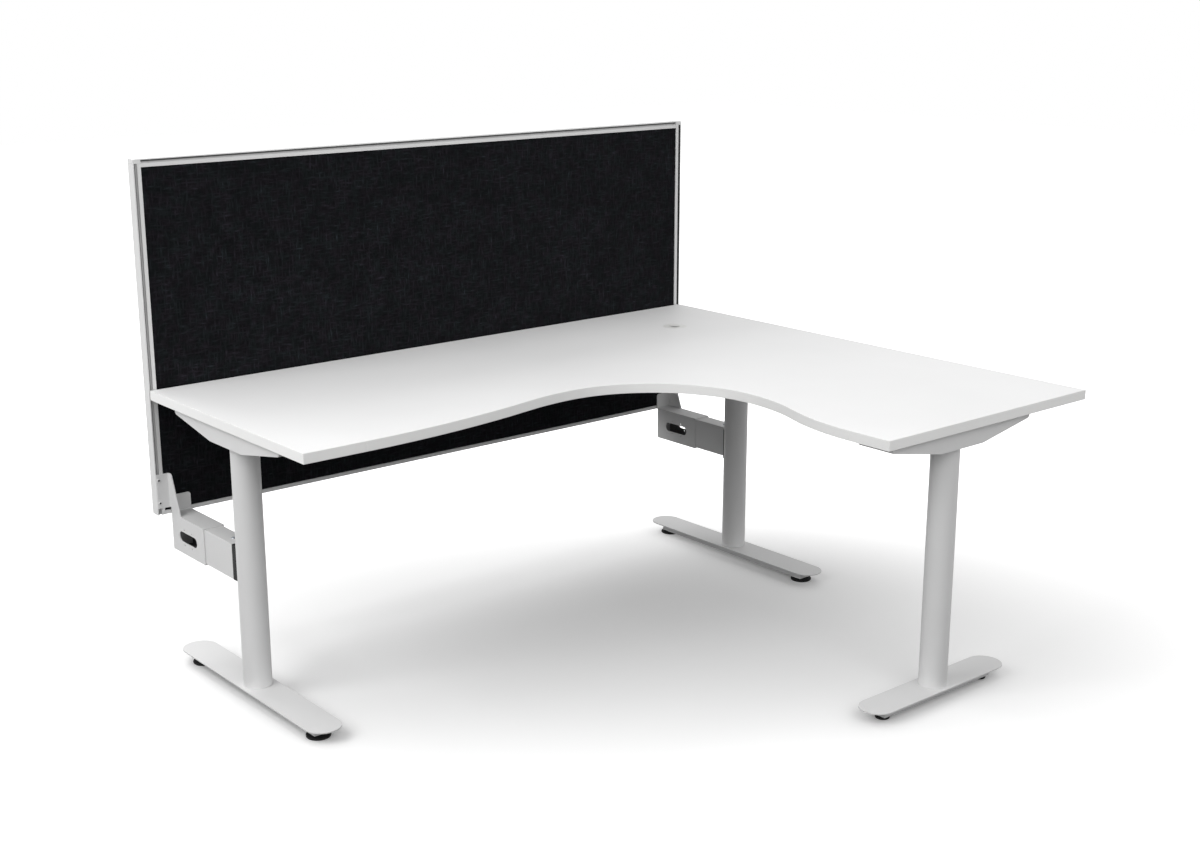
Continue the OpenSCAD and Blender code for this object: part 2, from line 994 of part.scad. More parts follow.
module screen_core() {
    core_mid = (screen_front + screen_rear) / 2;
    edge = frame_w - core_grip + core_gap;
    base = screen_bottom + bottom_rail_h - core_grip + core_gap;
    color(board_core)
        box([edge, core_mid - core_t / 2, base],
            [top_long - edge, core_mid + core_t / 2, screen_top - edge]);
}

// Upholstered face between the frame's members, v is its rear plane
module fabric_face(v) {
    edge = frame_w + fabric_gap;
    color(dark_fabric)
        box([edge, v, screen_bottom + bottom_rail_h + fabric_gap],
            [top_long - edge, v + fabric_t, screen_top - edge]);
}

module front_fabric() {
    fabric_face(screen_front - fabric_recess - fabric_t);
}

module rear_fabric() {
    fabric_face(screen_rear + fabric_recess);
}

// Screen arms

// Plan of the sleeve with its two bent rear corners, inset by e
module sleeve_plan(e) {
    bend = sleeve_bend_r - e;
    mid_v = screen_front + sleeve_bend_r;
    translate([arm_inset + e, mid_v])
        square([sleeve_w - 2 * e, sleeve_reach - mid_v + (e > 0 ? cut : 0)]);
    translate([arm_inset + sleeve_bend_r, screen_front + e])
        square([sleeve_w - 2 * sleeve_bend_r, sleeve_bend_r]);
    for (s = [arm_inset + sleeve_bend_r, arm_inset + sleeve_w - sleeve_bend_r])
        translate([s, mid_v])
            circle(r = bend);
}

// Side view of the web: X is the distance from the screen, Y the height over the sleeve
module web_outline() {
    round_x = web_top + flange_r * tan(web_lean) - flange_r / cos(web_lean);
    round_y = web_h - flange_r;
    polygon([
        [0, -cut], [web_foot, -cut], [web_foot, 0],
        [round_x + flange_r * cos(web_lean), round_y + flange_r * sin(web_lean)],
        [round_x, web_h], [0, web_h]
    ]);
    translate([round_x, round_y])
        circle(r = flange_r);
}

// Quarter of a bend in the sheet about (s, v), r is its outer radius; side is where it turns
module bend(s, v, r, side) {
    intersection() {
        translate([side > 0 ? s : s - r, v - r])
            square(r);
        translate([s, v])
            difference() {
                circle(r = r);
                circle(r = r - arm_t);
            }
    }
}

// Plan of the plate along the screen, with the bend that turns it into the web
module plate_plan() {
    bend_s = arm_inset - web_bend_r;
    translate([plate_setback, screen_front])
        square([bend_s - plate_setback, arm_t]);
    bend(bend_s, screen_front + arm_t + web_bend_r, web_bend_r + arm_t, 1);
    translate([arm_inset, screen_front + arm_t + web_bend_r])
        square([arm_t, sleeve_bend_r]);
}

// Leaning web, the sleeve's outer wall carried up
module web() {
    difference() {
        translate([arm_inset, screen_front, sleeve_top])
            rotate([90, 0, 90])
                linear_extrude(arm_t)
                    web_outline();
        box([arm_inset - cut, screen_front - cut, sleeve_top - 2 * cut],
            [arm_inset + arm_t + cut, screen_front + sleeve_bend_r, sleeve_top + web_h + cut]);
    }
}

// Plate screwed to the screen, its top rounded with the web
module screen_plate() {
    intersection() {
        translate([0, 0, plate_mid_z - plate_h / 2])
            linear_extrude(plate_h)
                plate_plan();
        translate([0, screen_front, sleeve_top])
            rotate([90, 0, 90])
                linear_extrude(arm_inset + arm_t)
                    web_outline();
    }
}

// Upright flange on the screen: the sleeve's rear wall and corner bend carried up
module rear_flange() {
    bend_s = arm_inset + sleeve_bend_r;
    flange_l = sleeve_w - sleeve_bend_r;
    translate([0, 0, sleeve_top - arm_t])
        linear_extrude(flange_h + arm_t)
            bend(bend_s, screen_front + sleeve_bend_r, sleeve_bend_r, -1);
    translate([bend_s, screen_front + arm_t, sleeve_top - arm_t])
        rotate([90, 0, 0])
            linear_extrude(arm_t) {
                square([flange_l - flange_r, flange_h + arm_t]);
                square([flange_l, flange_h + arm_t - flange_r]);
                translate([flange_l - flange_r, flange_h + arm_t - flange_r])
                    circle(r = flange_r);
            }
    translate([bend_s, screen_front + arm_t, sleeve_top])
        rotate([90, 0, 90])
            linear_extrude(flange_l)
                difference() {
                    translate([-cut, -cut])
                        square(foot_bend_r + cut);
                    translate([foot_bend_r, foot_bend_r])
                        circle(r = foot_bend_r);
                }
}

// Stadium slot for cables, cut through both side walls
module cable_slot() {
    end_v = (slot_l - slot_h) / 2;
    from_u = arm_inset - cut;
    through = sleeve_w + 2 * cut;
    for (side = [-1, 1])
        rod_u(from_u, slot_v + side * end_v, slot_z, slot_h / 2, through);
    translate([from_u, slot_v - end_v, slot_z - slot_h / 2])
        cube([through, 2 * end_v, slot_h]);
}

module socket_holes() {
    for (v = [-1, 1], z = [-1, 1])
        rod_u(arm_inset - cut, slot_v + v * socket_pitch / 2, slot_z + z * socket_pitch / 2,
              socket_hole_r, sleeve_w + 2 * cut);
}

// Slot under the sleeve that the lock screw runs in
module lock_slot() {
    for (v = [lock_v, lock_v + screen_travel])
        translate([arm_mid, v, sleeve_base - cut])
            cylinder(r = lock_r + bolt_gap, h = arm_t + 2 * cut);
    translate([arm_mid - lock_r - bolt_gap, lock_v, sleeve_base - cut])
        cube([2 * (lock_r + bolt_gap), screen_travel, arm_t + 2 * cut]);
}

// Outer sleeve with web, screen plate and rear flange, folded from one sheet
module screen_bracket() {
    color(steel_paint)
        difference() {
            union() {
                difference() {
                    translate([0, 0, sleeve_base])
                        linear_extrude(sleeve_h)
                            sleeve_plan(0);
                    translate([0, 0, sleeve_base + arm_t])
                        linear_extrude(sleeve_h - 2 * arm_t)
                            sleeve_plan(arm_t);
                }
                web();
                screen_plate();
                rear_flange();
            }
            cable_slot();
            socket_holes();
            lock_slot();
            plate_screw_holes(plate_screw_r + bolt_gap);
        }
}

module left_screen_bracket() {
    at_left()
        screen_bracket();
}

module corner_screen_bracket() {
    screen_bracket();
}

// Counter plate behind the screen, tapped for the plate screws
module clamp_plate() {
    color(steel_paint)
        difference() {
            box([plate_setback, screen_rear - clamp_t, plate_mid_z - plate_h / 2],
                [arm_inset + arm_t, screen_rear, plate_mid_z + plate_h / 2]);
            plate_screw_holes(plate_screw_r + thread_gap);
        }
}

module left_clamp_plate() {
    at_left()
        clamp_plate();
}

module corner_clamp_plate() {
    clamp_plate();
}

// Rectangular tube that the sleeve slides on
module inner_arm() {
    half_w = inner_w / 2;
    half_h = inner_h / 2;
    color(steel_paint)
        difference() {
            box([arm_mid - half_w, inner_from, sleeve_mid_z - half_h],
                [arm_mid + half_w, inner_to, sleeve_mid_z + half_h]);
            box([arm_mid - half_w + arm_t, inner_from - cut, sleeve_mid_z - half_h + arm_t],
                [arm_mid + half_w - arm_t, inner_to + cut, sleeve_mid_z + half_h - arm_t]);
            translate([arm_mid, inner_to - top_screw_back, sleeve_mid_z])
                cylinder(r = lock_r + bolt_gap, h = inner_h);
            translate([arm_mid, lock_v, sleeve_base])
                cylinder(r = lock_r + thread_gap, h = inner_h / 2);
        }
}

module left_inner_arm() {
    at_left()
        inner_arm();
}

module corner_inner_arm() {
    inner_arm();
}

// Saddles

// Tongue inside the arm, tapped from above for the top screw
module saddle_tongue() {
    difference() {
        box([arm_mid - tongue_w / 2, inner_to - tongue_in, sleeve_mid_z - tongue_h / 2],
            [arm_mid + tongue_w / 2, inner_to + cut, sleeve_mid_z + tongue_h / 2]);
        translate([arm_mid, inner_to - top_screw_back, sleeve_mid_z + tongue_h / 2 - 12])
            cylinder(r = lock_r + thread_gap, h = 12 + cut);
    }
}

// Side view of a saddle's face block, with its front corners rounded
module saddle_side(depth) {
    low = sleeve_mid_z - inner_h / 2;
    translate([inner_to, low])
        square([depth - saddle_round, inner_h]);
    translate([inner_to, low + saddle_round])
        square([depth, inner_h - 2 * saddle_round]);
    for (z = [low + saddle_round, low + inner_h - saddle_round])
        translate([inner_to + depth - saddle_round, z])
            circle(r = saddle_round);
}

// Straight saddle, for a column on the arm's own line
module left_saddle() {
    column_s = left_leg_inset;
    color(black_plastic)
        at_left()
            difference() {
                union() {
                    translate([arm_mid - inner_w / 2, 0, 0])
                        rotate([90, 0, 90])
                            linear_extrude(inner_w)
                                saddle_side(saddle_depth);
                    saddle_tongue();
                }
                translate([column_s, long_leg_v, 0])
                    cylinder(r = column_r + saddle_fit, h = top_h);
                for (side = [-1, 1]) {
                    rod_v(column_s, inner_to - tongue_in - cut, sleeve_mid_z + side * saddle_bolt_pitch / 2,
                          bolt_r + bolt_gap, tongue_in + saddle_depth + 2 * cut);
                    rod_v(column_s, inner_to - tongue_in - cut, sleeve_mid_z + side * saddle_bolt_pitch / 2,
                          small_head_r + 1, saddle_bore_l + cut);
                }
            }
}

// Offset saddle: a wedge beside the arm reaches the corner column
module corner_saddle() {
    low = sleeve_mid_z - inner_h / 2;
    arm_edge = arm_mid - inner_w / 2;
    wedge_v = inner_to + saddle_depth + 9;
    touch_s = corner_leg_inset - sqrt(pow(column_r, 2) - pow(long_leg_v - wedge_v, 2)) + cut;
    color(black_plastic)
        difference() {
            union() {
                translate([0, 0, low])
                    linear_extrude(inner_h)
                        polygon([
                            [arm_edge, inner_to], [corner_saddle_to, inner_to],
                            [corner_saddle_to, wedge_v], [touch_s, wedge_v],
                            [arm_edge, inner_to + saddle_round]
                        ]);
                saddle_tongue();
            }
            translate([corner_leg_inset, long_leg_v, 0])
                cylinder(r = column_r + saddle_fit, h = top_h);
            for (side = [-1, 1])
                rod_v(corner_bolt_s, inner_to - cut, sleeve_mid_z + side * saddle_bolt_pitch / 2,
                      bolt_r + bolt_gap, saddle_depth + 2 * cut);
        }
}

// Fasteners

module worktop_screws() {
    color(zinc) {
        left_leg()
            bracket_screws();
        corner_leg()
            bracket_screws();
        wing_leg()
            bracket_screws();
    }
}

module bracket_screws() {
    screw_places() {
        translate([0, 0, top_under - boat_t - screw_head_h])
            cylinder(r = screw_head_r, h = screw_head_h);
        translate([0, 0, top_under - boat_t - screw_head_h])
            cylinder(r = screw_r, h = screw_head_h + boat_t + screw_bite);
    }
}

module column_bolt_pair() {
    for (x = [-1, 1])
        translate([x * column_bolt_pitch / 2, 0, column_top]) {
            translate([0, 0, boat_t])
                cylinder(r = bolt_head_r, h = bolt_head_h, $fn = 6);
            translate([0, 0, -column_disc_t])
                cylinder(r = column_bolt_r, h = column_disc_t + boat_t + cut);
        }
}

module column_bolts() {
    color(zinc) {
        left_leg()
            column_bolt_pair();
        corner_leg()
            column_bolt_pair();
        wing_leg()
            column_bolt_pair();
    }
}

module foot_bolt_pair() {
    for (x = [-1, 1])
        translate([x * column_bolt_pitch / 2, 0, channel_top - channel_wall]) {
            translate([0, 0, -bolt_head_h])
                cylinder(r = bolt_head_r, h = bolt_head_h, $fn = 6);
            translate([0, 0, -cut])
                cylinder(r = column_bolt_r, h = channel_wall + foot_plate_t + column_disc_t + cut);
        }
}

module foot_bolts() {
    color(zinc) {
        left_leg()
            foot_bolt_pair();
        corner_leg()
            foot_bolt_pair();
        wing_leg()
            foot_bolt_pair();
    }
}

// Two bolts through a beam's end plate, running towards -X from the plate's inner face
module beam_end_bolts() {
    for (y = [-1, 1]) {
        translate([beam_plate_t, y * beam_bolt_pitch / 2, beam_mid_z])
            rotate([0, 90, 0])
                cylinder(r = small_head_r, h = small_head_h, $fn = 6);
        rod_u(beam_plate_t - beam_bolt_l, y * beam_bolt_pitch / 2, beam_mid_z, bolt_r, beam_bolt_l + cut);
    }
}

module beam_bolts() {
    color(zinc)
        beam_ends()
            beam_end_bolts();
}

module saddle_bolts() {
    bolt_end = long_leg_v - column_r + nut_l + 2;
    left_seat = inner_to - tongue_in + saddle_bore_l;
    color(zinc)
        for (side = [-1, 1]) {
            z = sleeve_mid_z + side * saddle_bolt_pitch / 2;
            at_left() {
                hex_v(left_leg_inset, left_seat - head_l, z, small_head_r, head_l);
                rod_v(left_leg_inset, left_seat - cut, z, bolt_r, bolt_end - left_seat + cut);
            }
            hex_v(corner_bolt_s, inner_to - flat_head_h, z, small_head_r, flat_head_h);
            rod_v(corner_bolt_s, inner_to - cut, z, bolt_r, bolt_end - inner_to + cut);
        }
}

// Blind rivet nuts set in the columns' rear walls
module rivet_nut(s, z) {
    difference() {
        rod_v(s, long_leg_v - column_r + nut_sink, z, nut_r, nut_l - nut_sink);
        rod_v(s, long_leg_v - column_r, z, bolt_r + thread_gap, nut_l + cut);
    }
}

module column_rivet_nuts() {
    color(zinc)
        for (side = [-1, 1]) {
            z = sleeve_mid_z + side * saddle_bolt_pitch / 2;
            at_left()
                rivet_nut(left_leg_inset, z);
            rivet_nut(corner_bolt_s, z);
        }
}

// Screw through the arm's top wall into the saddle's tongue
module arm_top_screw() {
    translate([arm_mid, inner_to - top_screw_back, sleeve_mid_z + inner_h / 2]) {
        cylinder(r = lock_head_r, h = plate_head_h);
        translate([0, 0, -arm_t - 8])
            cylinder(r = lock_r, h = arm_t + 8 + cut);
    }
}

module arm_top_screws() {
    color(zinc) {
        arm_top_screw();
        at_left()
            arm_top_screw();
    }
}

// Screw that clamps the sleeve on the inner arm
module lock_screw() {
    translate([arm_mid, lock_v, sleeve_base]) {
        translate([0, 0, -lock_head_h])
            cylinder(r = lock_head_r, h = lock_head_h);
        translate([0, 0, -cut])
            cylinder(r = lock_r, h = 2 * arm_t + slide_gap + 3 * cut);
    }
}

module lock_screws() {
    color(zinc) {
        lock_screw();
        at_left()
            lock_screw();
    }
}

module plate_screw_pair() {
    for (side = [-1, 1]) {
        z = plate_mid_z + side * plate_screw_pitch / 2;
        rod_v(groove_mid, screen_front + arm_t, z, plate_head_r, plate_head_h);
        rod_v(groove_mid, screen_rear - clamp_t, z, plate_screw_r, clamp_t + screen_t + arm_t + cut);
    }
}

module plate_screws() {
    color(black_steel) {
        plate_screw_pair();
        at_left()
            plate_screw_pair();
    }
}

stand() worktop_board();
stand() edge_band();
stand() grommet_collar();
stand() grommet_cap();
stand() left_column();
stand() corner_column();
stand() wing_column();
stand() left_top_bracket();
stand() corner_top_bracket();
stand() wing_top_bracket();
stand() left_fixing_plate();
stand() corner_fixing_plate();
stand() wing_fixing_plate();
stand() left_foot_plate();
stand() corner_foot_plate();
stand() wing_foot_plate();
stand() left_foot_channel();
stand() corner_foot_channel();
stand() wing_foot_channel();
stand() left_front_glide();
stand() left_rear_glide();
stand() corner_front_glide();
stand() corner_rear_glide();
stand() wing_front_glide();
stand() wing_rear_glide();
stand() long_beam();
stand() wing_beam();
stand() beam_end_plates();
stand() left_inner_arm();
stand() corner_inner_arm();
stand() left_saddle();
stand() corner_saddle();
stand() left_screen_bracket();
stand() corner_screen_bracket();
stand() left_clamp_plate();
stand() corner_clamp_plate();
stand() screen_top_rail();
stand() screen_bottom_rail();
stand() screen_left_stile();
stand() screen_corner_stile();
stand() screen_corner_pieces();
stand() screen_core();
stand() front_fabric();
stand() rear_fabric();
stand() worktop_screws();
stand() column_bolts();
stand() foot_bolts();
stand() beam_bolts();
stand() saddle_bolts();
stand() column_rivet_nuts();
stand() arm_top_screws();
stand() lock_screws();
stand() plate_screws();
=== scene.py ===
# %% [markdown]
# # Screened corner workstation
# The construction model already gives every part its size and its place.
# This notebook dresses it: edges are broken, turned and moulded parts are
# turned afresh, the screen is upholstered, and each surface gets the finish
# of the real one. All lengths below are in metres, in the model's own frame:
# the screen stands at +Y and the short wing reaches towards -Y.

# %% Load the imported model
import json
import math

import bmesh
import bpy
from mathutils import Matrix, Vector, noise


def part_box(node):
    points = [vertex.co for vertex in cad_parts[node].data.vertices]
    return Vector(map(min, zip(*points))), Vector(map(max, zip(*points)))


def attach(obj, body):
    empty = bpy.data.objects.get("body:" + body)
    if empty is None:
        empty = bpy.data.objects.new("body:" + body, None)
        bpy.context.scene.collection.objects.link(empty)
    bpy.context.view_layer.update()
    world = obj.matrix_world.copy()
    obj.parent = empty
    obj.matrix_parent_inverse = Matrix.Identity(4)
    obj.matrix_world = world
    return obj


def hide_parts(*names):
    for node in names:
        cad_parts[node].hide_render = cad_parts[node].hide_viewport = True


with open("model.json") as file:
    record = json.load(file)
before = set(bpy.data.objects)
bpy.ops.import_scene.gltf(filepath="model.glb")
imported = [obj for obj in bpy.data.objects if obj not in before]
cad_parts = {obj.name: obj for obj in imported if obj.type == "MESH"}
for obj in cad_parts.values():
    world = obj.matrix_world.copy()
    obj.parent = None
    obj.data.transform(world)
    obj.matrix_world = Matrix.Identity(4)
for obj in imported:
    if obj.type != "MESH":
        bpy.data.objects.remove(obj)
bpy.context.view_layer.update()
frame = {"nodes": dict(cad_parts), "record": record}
MM = 0.001

# %% [markdown]
# ## Camera
# The view is a three-quarter one from the long wing's end, a little above the
# worktop. Only the place, the direction and the lens are set, because the
# image size belongs to whoever renders.

# %% Camera
CAMERA_PLACE = Vector((-2.618, -3.059, 1.701))
CAMERA_AIM = Vector((0.6218, 0.7394, -0.2582))
LENS = 49.52

view = bpy.data.cameras.new("camera")
view.sensor_fit = "HORIZONTAL"
view.sensor_width = 36.0
view.lens = LENS
camera = bpy.data.objects.new("camera", view)
camera.location = CAMERA_PLACE
camera.rotation_euler = CAMERA_AIM.to_track_quat("-Z", "Y").to_euler()
bpy.context.collection.objects.link(camera)
bpy.context.scene.camera = camera
bpy.context.scene.view_settings.view_transform = "Standard"
print("camera", [round(c, 3) for c in camera.location], "lens", LENS)

# %% [markdown]
# ## Colours and nodes
# Shaders work with linear numbers, but colours are easiest to judge as the hex
# values of a paint card, so one function turns one into the other. Another
# adds a node. A plain value is written on a node's socket, and another node's
# socket is linked to it.

# %% Colour and node helpers
def linear(colour):
    """The linear numbers of an sRGB hex colour."""
    parts = [int(colour[i:i + 2], 16) / 255 for i in (1, 3, 5)]
    steps = [c / 12.92 if c <= 0.04045 else ((c + 0.055) / 1.055) ** 2.4 for c in parts]
    return (*steps, 1.0)


def plug(node, inputs):
    """Writes plain values on a node's sockets, and links other nodes' sockets to them."""
    for name, value in inputs.items():
        if isinstance(value, bpy.types.NodeSocket):
            node.id_data.links.new(value, node.inputs[name])
        else:
            node.inputs[name].default_value = value


def add_node(tree, kind, inputs=None, **settings):
    """Adds one node with its settings; inputs are values or sockets."""
    node = tree.nodes.new(kind)
    for name, value in settings.items():
        setattr(node, name, value)
    plug(node, inputs or {})
    return node


WHITE = linear("#FFFFFF")
print("white is", WHITE)

# %% [markdown]
# ## What every finish starts from
# Each finish has a shader, an output and the object's own coordinates, so that
# a pattern stays on its part when the part moves. Its tones run along a ramp.

# %% Finish helpers
def empty_tree(owner):
    """The node tree of a material or a world, cleared."""
    owner.use_nodes = True
    owner.node_tree.nodes.clear()
    return owner.node_tree


def new_finish(name):
    """An empty material, its tree, the object's own coordinates and its shader."""
    material = bpy.data.materials.new(name)
    tree = empty_tree(material)
    place = add_node(tree, "ShaderNodeTexCoord").outputs["Object"]
    shader = add_node(tree, "ShaderNodeBsdfPrincipled")
    add_node(tree, "ShaderNodeOutputMaterial", {"Surface": shader.outputs["BSDF"]})
    return material, tree, place, shader


def ramp(tree, factor, stops):
    """A colour ramp through (position, hex colour) stops."""
    node = add_node(tree, "ShaderNodeValToRGB", {"Fac": factor})
    band = node.color_ramp.elements
    while len(band) < len(stops):
        band.new(0.5)
    for element, (position, colour) in zip(band, stops):
        element.position = position
        element.color = linear(colour)
    return node.outputs["Color"]


print("materials in the model:", len(bpy.data.materials))

# %% [markdown]
# ## Floor
# The photograph is a studio one on seamless white. Very little light comes
# back from below the desk, so the floor is grey card to the rays that bounce.
# To the camera it is white paper with a painted glow, an emission that grows
# away from the desk up to pure white, so that only the soft shadow shows. The
# fade is an oval, because the shadow in the photograph is longer one way than
# the other.

# %% Floor
FLOOR_SIZE = 30.0
FADE_CENTRE = (-0.05, 0.17, 0.0)   # middle of the shadow on the floor
FADE_TURN = math.radians(52)       # direction in which the shadow is short
FADE_STRETCH = 2.1                 # how much longer it is across that
FADE_FROM, FADE_TO = 0.27, 2.25    # distance from the middle, the short way


def seen_by_eye(tree):
    """1 for rays from the camera, also by way of a reflection or through glass."""
    rays = add_node(tree, "ShaderNodeLightPath").outputs
    either = add_node(tree, "ShaderNodeMath",
                      {0: rays["Is Camera Ray"], 1: rays["Is Glossy Ray"]}, operation="MAXIMUM")
    return add_node(tree, "ShaderNodeMath",
                    {0: either.outputs[0], 1: rays["Is Transmission Ray"]},
                    operation="MAXIMUM").outputs[0]


paper = bpy.data.materials.new("studio_white_paper")
tree = empty_tree(paper)
spot = add_node(tree, "ShaderNodeTexCoord").outputs["Object"]
oval = add_node(tree, "ShaderNodeMapping",
                {"Vector": spot, "Location": FADE_CENTRE, "Rotation": (0.0, 0.0, FADE_TURN),
                 "Scale": (1.0, FADE_STRETCH, 1.0)}, vector_type="TEXTURE")
away = add_node(tree, "ShaderNodeVectorMath", {0: oval.outputs["Vector"]}, operation="LENGTH")
fade = add_node(tree, "ShaderNodeMapRange",
                {"Value": away.outputs["Value"], "From Min": FADE_FROM, "From Max": FADE_TO},
                interpolation_type="SMOOTHSTEP")
card = add_node(tree, "ShaderNodeBsdfDiffuse", {"Color": linear("#595959")})
bright = add_node(tree, "ShaderNodeBsdfDiffuse", {"Color": WHITE})
# Painted light: the paper glows, from nothing near the shadow's middle to pure white beyond
# FADE_TO
painted_glow = add_node(tree, "ShaderNodeEmission", {"Strength": fade.outputs["Result"]})
bright = add_node(tree, "ShaderNodeAddShader", {0: bright.outputs[0], 1: painted_glow.outputs[0]})
paper_mix = add_node(tree, "ShaderNodeMixShader",
                     {"Fac": seen_by_eye(tree), 1: card.outputs[0], 2: bright.outputs[0]})
add_node(tree, "ShaderNodeOutputMaterial", {"Surface": paper_mix.outputs[0]})


def make_object(mesh, name, material):
    """Turns a bmesh into an object with one material, and frees the bmesh."""
    data = bpy.data.meshes.new(name)
    mesh.to_mesh(data)
    mesh.free()
    data.materials.append(material)
    piece = bpy.data.objects.new(name, data)
    bpy.context.collection.objects.link(piece)
    return piece


floor_mesh = bmesh.new()
bmesh.ops.create_grid(floor_mesh, x_segments=1, y_segments=1, size=FLOOR_SIZE / 2)
floor = make_object(floor_mesh, "studio_floor", paper)
print("floor", FLOOR_SIZE, "m wide, pure white from", FADE_TO, "m")

# %% [markdown]
# ## Background and light
# The desk is lit from all round: tops are bright, each leg is bright on its
# outer side and dark on the side that looks under the worktop. So the world is
# a plain dome, which the camera sees as pure white, and three broad softboxes
# stand to the left, behind and in front of the desk.

# %% Background and light
DOME_LEVEL = 0.70
SOFTBOX_SIZE = 2.6
SOFTBOX_AIM = Vector((0.0, 0.0, 0.5))
SOFTBOXES = {                      # place and watts
    "left_softbox": (Vector((-3.5, 0.1, 2.8)), 64.0),
    "rear_softbox": (Vector((-0.4, 3.4, 3.2)), 60.0),
    "front_softbox": (Vector((-1.2, -3.7, 2.9)), 38.0),
}

world = bpy.data.worlds.new("studio_dome")
tree = empty_tree(world)
dome = add_node(tree, "ShaderNodeBackground", {"Color": WHITE, "Strength": DOME_LEVEL})
white = add_node(tree, "ShaderNodeBackground", {"Color": WHITE, "Strength": 1.0})
world_mix = add_node(tree, "ShaderNodeMixShader",
                     {"Fac": seen_by_eye(tree), 1: dome.outputs[0], 2: white.outputs[0]})
add_node(tree, "ShaderNodeOutputWorld", {"Surface": world_mix.outputs[0]})
bpy.context.scene.world = world

for name, (spot, watts) in SOFTBOXES.items():
    lamp = bpy.data.lights.new(name, "AREA")
    lamp.shape = "SQUARE"
    lamp.size = SOFTBOX_SIZE
    lamp.energy = watts
    softbox = bpy.data.objects.new(name, lamp)
    softbox.location = spot
    softbox.rotation_euler = (SOFTBOX_AIM - spot).to_track_quat("-Z", "Y").to_euler()
    softbox.visible_camera = False
    bpy.context.collection.objects.link(softbox)
print("dome", DOME_LEVEL, "softboxes", {name: watts for name, (_, watts) in SOFTBOXES.items()})

# %% [markdown]
# ## White melamine
# The worktop is chipboard faced with paper soaked in melamine resin and
# pressed against a finely pebbled plate. That gives an even white with a low
# sheen. Pebbles about a millimetre across are bump, and a broad, very faint
# change of tone keeps the large face from looking painted in one stroke.

# %% White melamine
PEBBLE = 1.6 * MM        # real ones are about 1 mm, drawn coarser to show at all
CLOUDS = 2.2             # changes of tone to a metre

melamine, tree, place, shader = new_finish("white_pearl_melamine")
cloud = add_node(tree, "ShaderNodeTexNoise", {"Vector": place, "Scale": CLOUDS, "Detail": 3.0})
pebbles = add_node(tree, "ShaderNodeTexVoronoi",
                   {"Vector": place, "Scale": 1 / PEBBLE, "Smoothness": 0.8}, feature="SMOOTH_F1")
press = add_node(tree, "ShaderNodeBump",
                 {"Height": pebbles.outputs["Distance"], "Strength": 0.12, "Distance": 0.2 * MM})
sheen = add_node(tree, "ShaderNodeMapRange",
                 {"Value": cloud.outputs["Fac"], "To Min": 0.54, "To Max": 0.62})
plug(shader, {"Base Color": ramp(tree, cloud.outputs["Fac"], ((0.3, "#EFEFEF"), (0.7, "#F3F3F3"))),
              "Roughness": sheen.outputs["Result"], "Normal": press.outputs["Normal"],
              "IOR": 1.5})
print("made", melamine.name)

# %% [markdown]
# ## Edge band and moulded plastic
# The edge band is extruded ABS, glued on and trimmed, a shade greyer than the
# face and slightly smoother. The grommet is moulded in the same plastic, and
# the saddles and glides in black nylon. All share one recipe: a base colour
# with a trace of mottle, and a fine sparked texture left by the tool.

# %% Plastics
MOTTLES = 9.0            # changes of tone to a metre


def moulded_plastic(name, dark, light, grain, depth, roughness, specular=0.5):
    """A moulded or extruded plastic with a sparked texture of the given grain."""
    material, tree, place, shader = new_finish(name)
    mottle = add_node(tree, "ShaderNodeTexNoise",
                      {"Vector": place, "Scale": MOTTLES, "Detail": 4.0, "Roughness": 0.6})
    spark = add_node(tree, "ShaderNodeTexNoise",
                     {"Vector": place, "Scale": 1 / grain, "Detail": 2.0, "Roughness": 0.7})
    skin = add_node(tree, "ShaderNodeBump",
                    {"Height": spark.outputs["Fac"], "Strength": 0.25, "Distance": depth})
    dull = add_node(tree, "ShaderNodeMapRange",
                    {"Value": spark.outputs["Fac"], "From Min": 0.3, "From Max": 0.7,
                     "To Min": roughness - 0.05, "To Max": roughness + 0.05})
    plug(shader, {"Base Color": ramp(tree, mottle.outputs["Fac"], ((0.3, dark), (0.7, light))),
                  "Roughness": dull.outputs["Result"], "Normal": skin.outputs["Normal"],
                  "IOR": 1.53, "Specular IOR Level": specular})
    return material


# ABS edge band: even, slightly satin
edge_abs = moulded_plastic("white_abs_edging", "#EDEDEC", "#F0F0EF", 1.5 * MM, 0.1 * MM, 0.40)
# Moulded ABS grommet: a touch warmer
grommet_abs = moulded_plastic("white_moulded_abs", "#E4E4E2", "#E9E9E7", 1.2 * MM, 0.1 * MM, 0.38)
# Glass-filled nylon: matt black, with hardly any gloss where it is textured
black_nylon = moulded_plastic("matt_black_nylon", "#101011", "#19191A", 1.4 * MM, 0.15 * MM,
                              0.65, specular=0.2)
print("made", edge_abs.name, grommet_abs.name, black_nylon.name)

# %% [markdown]
# ## Painted steel and coated aluminium
# The legs and arms are steel with a pale grey powder coat. Powder flows out
# into a soft orange peel a few millimetres across, with a weak satin gloss.
# The screen's frame is an aluminium extrusion with the same kind of coat, a
# little finer and smoother.

# %% Powder coats
DRIFTS = 4.0             # changes of tone to a metre


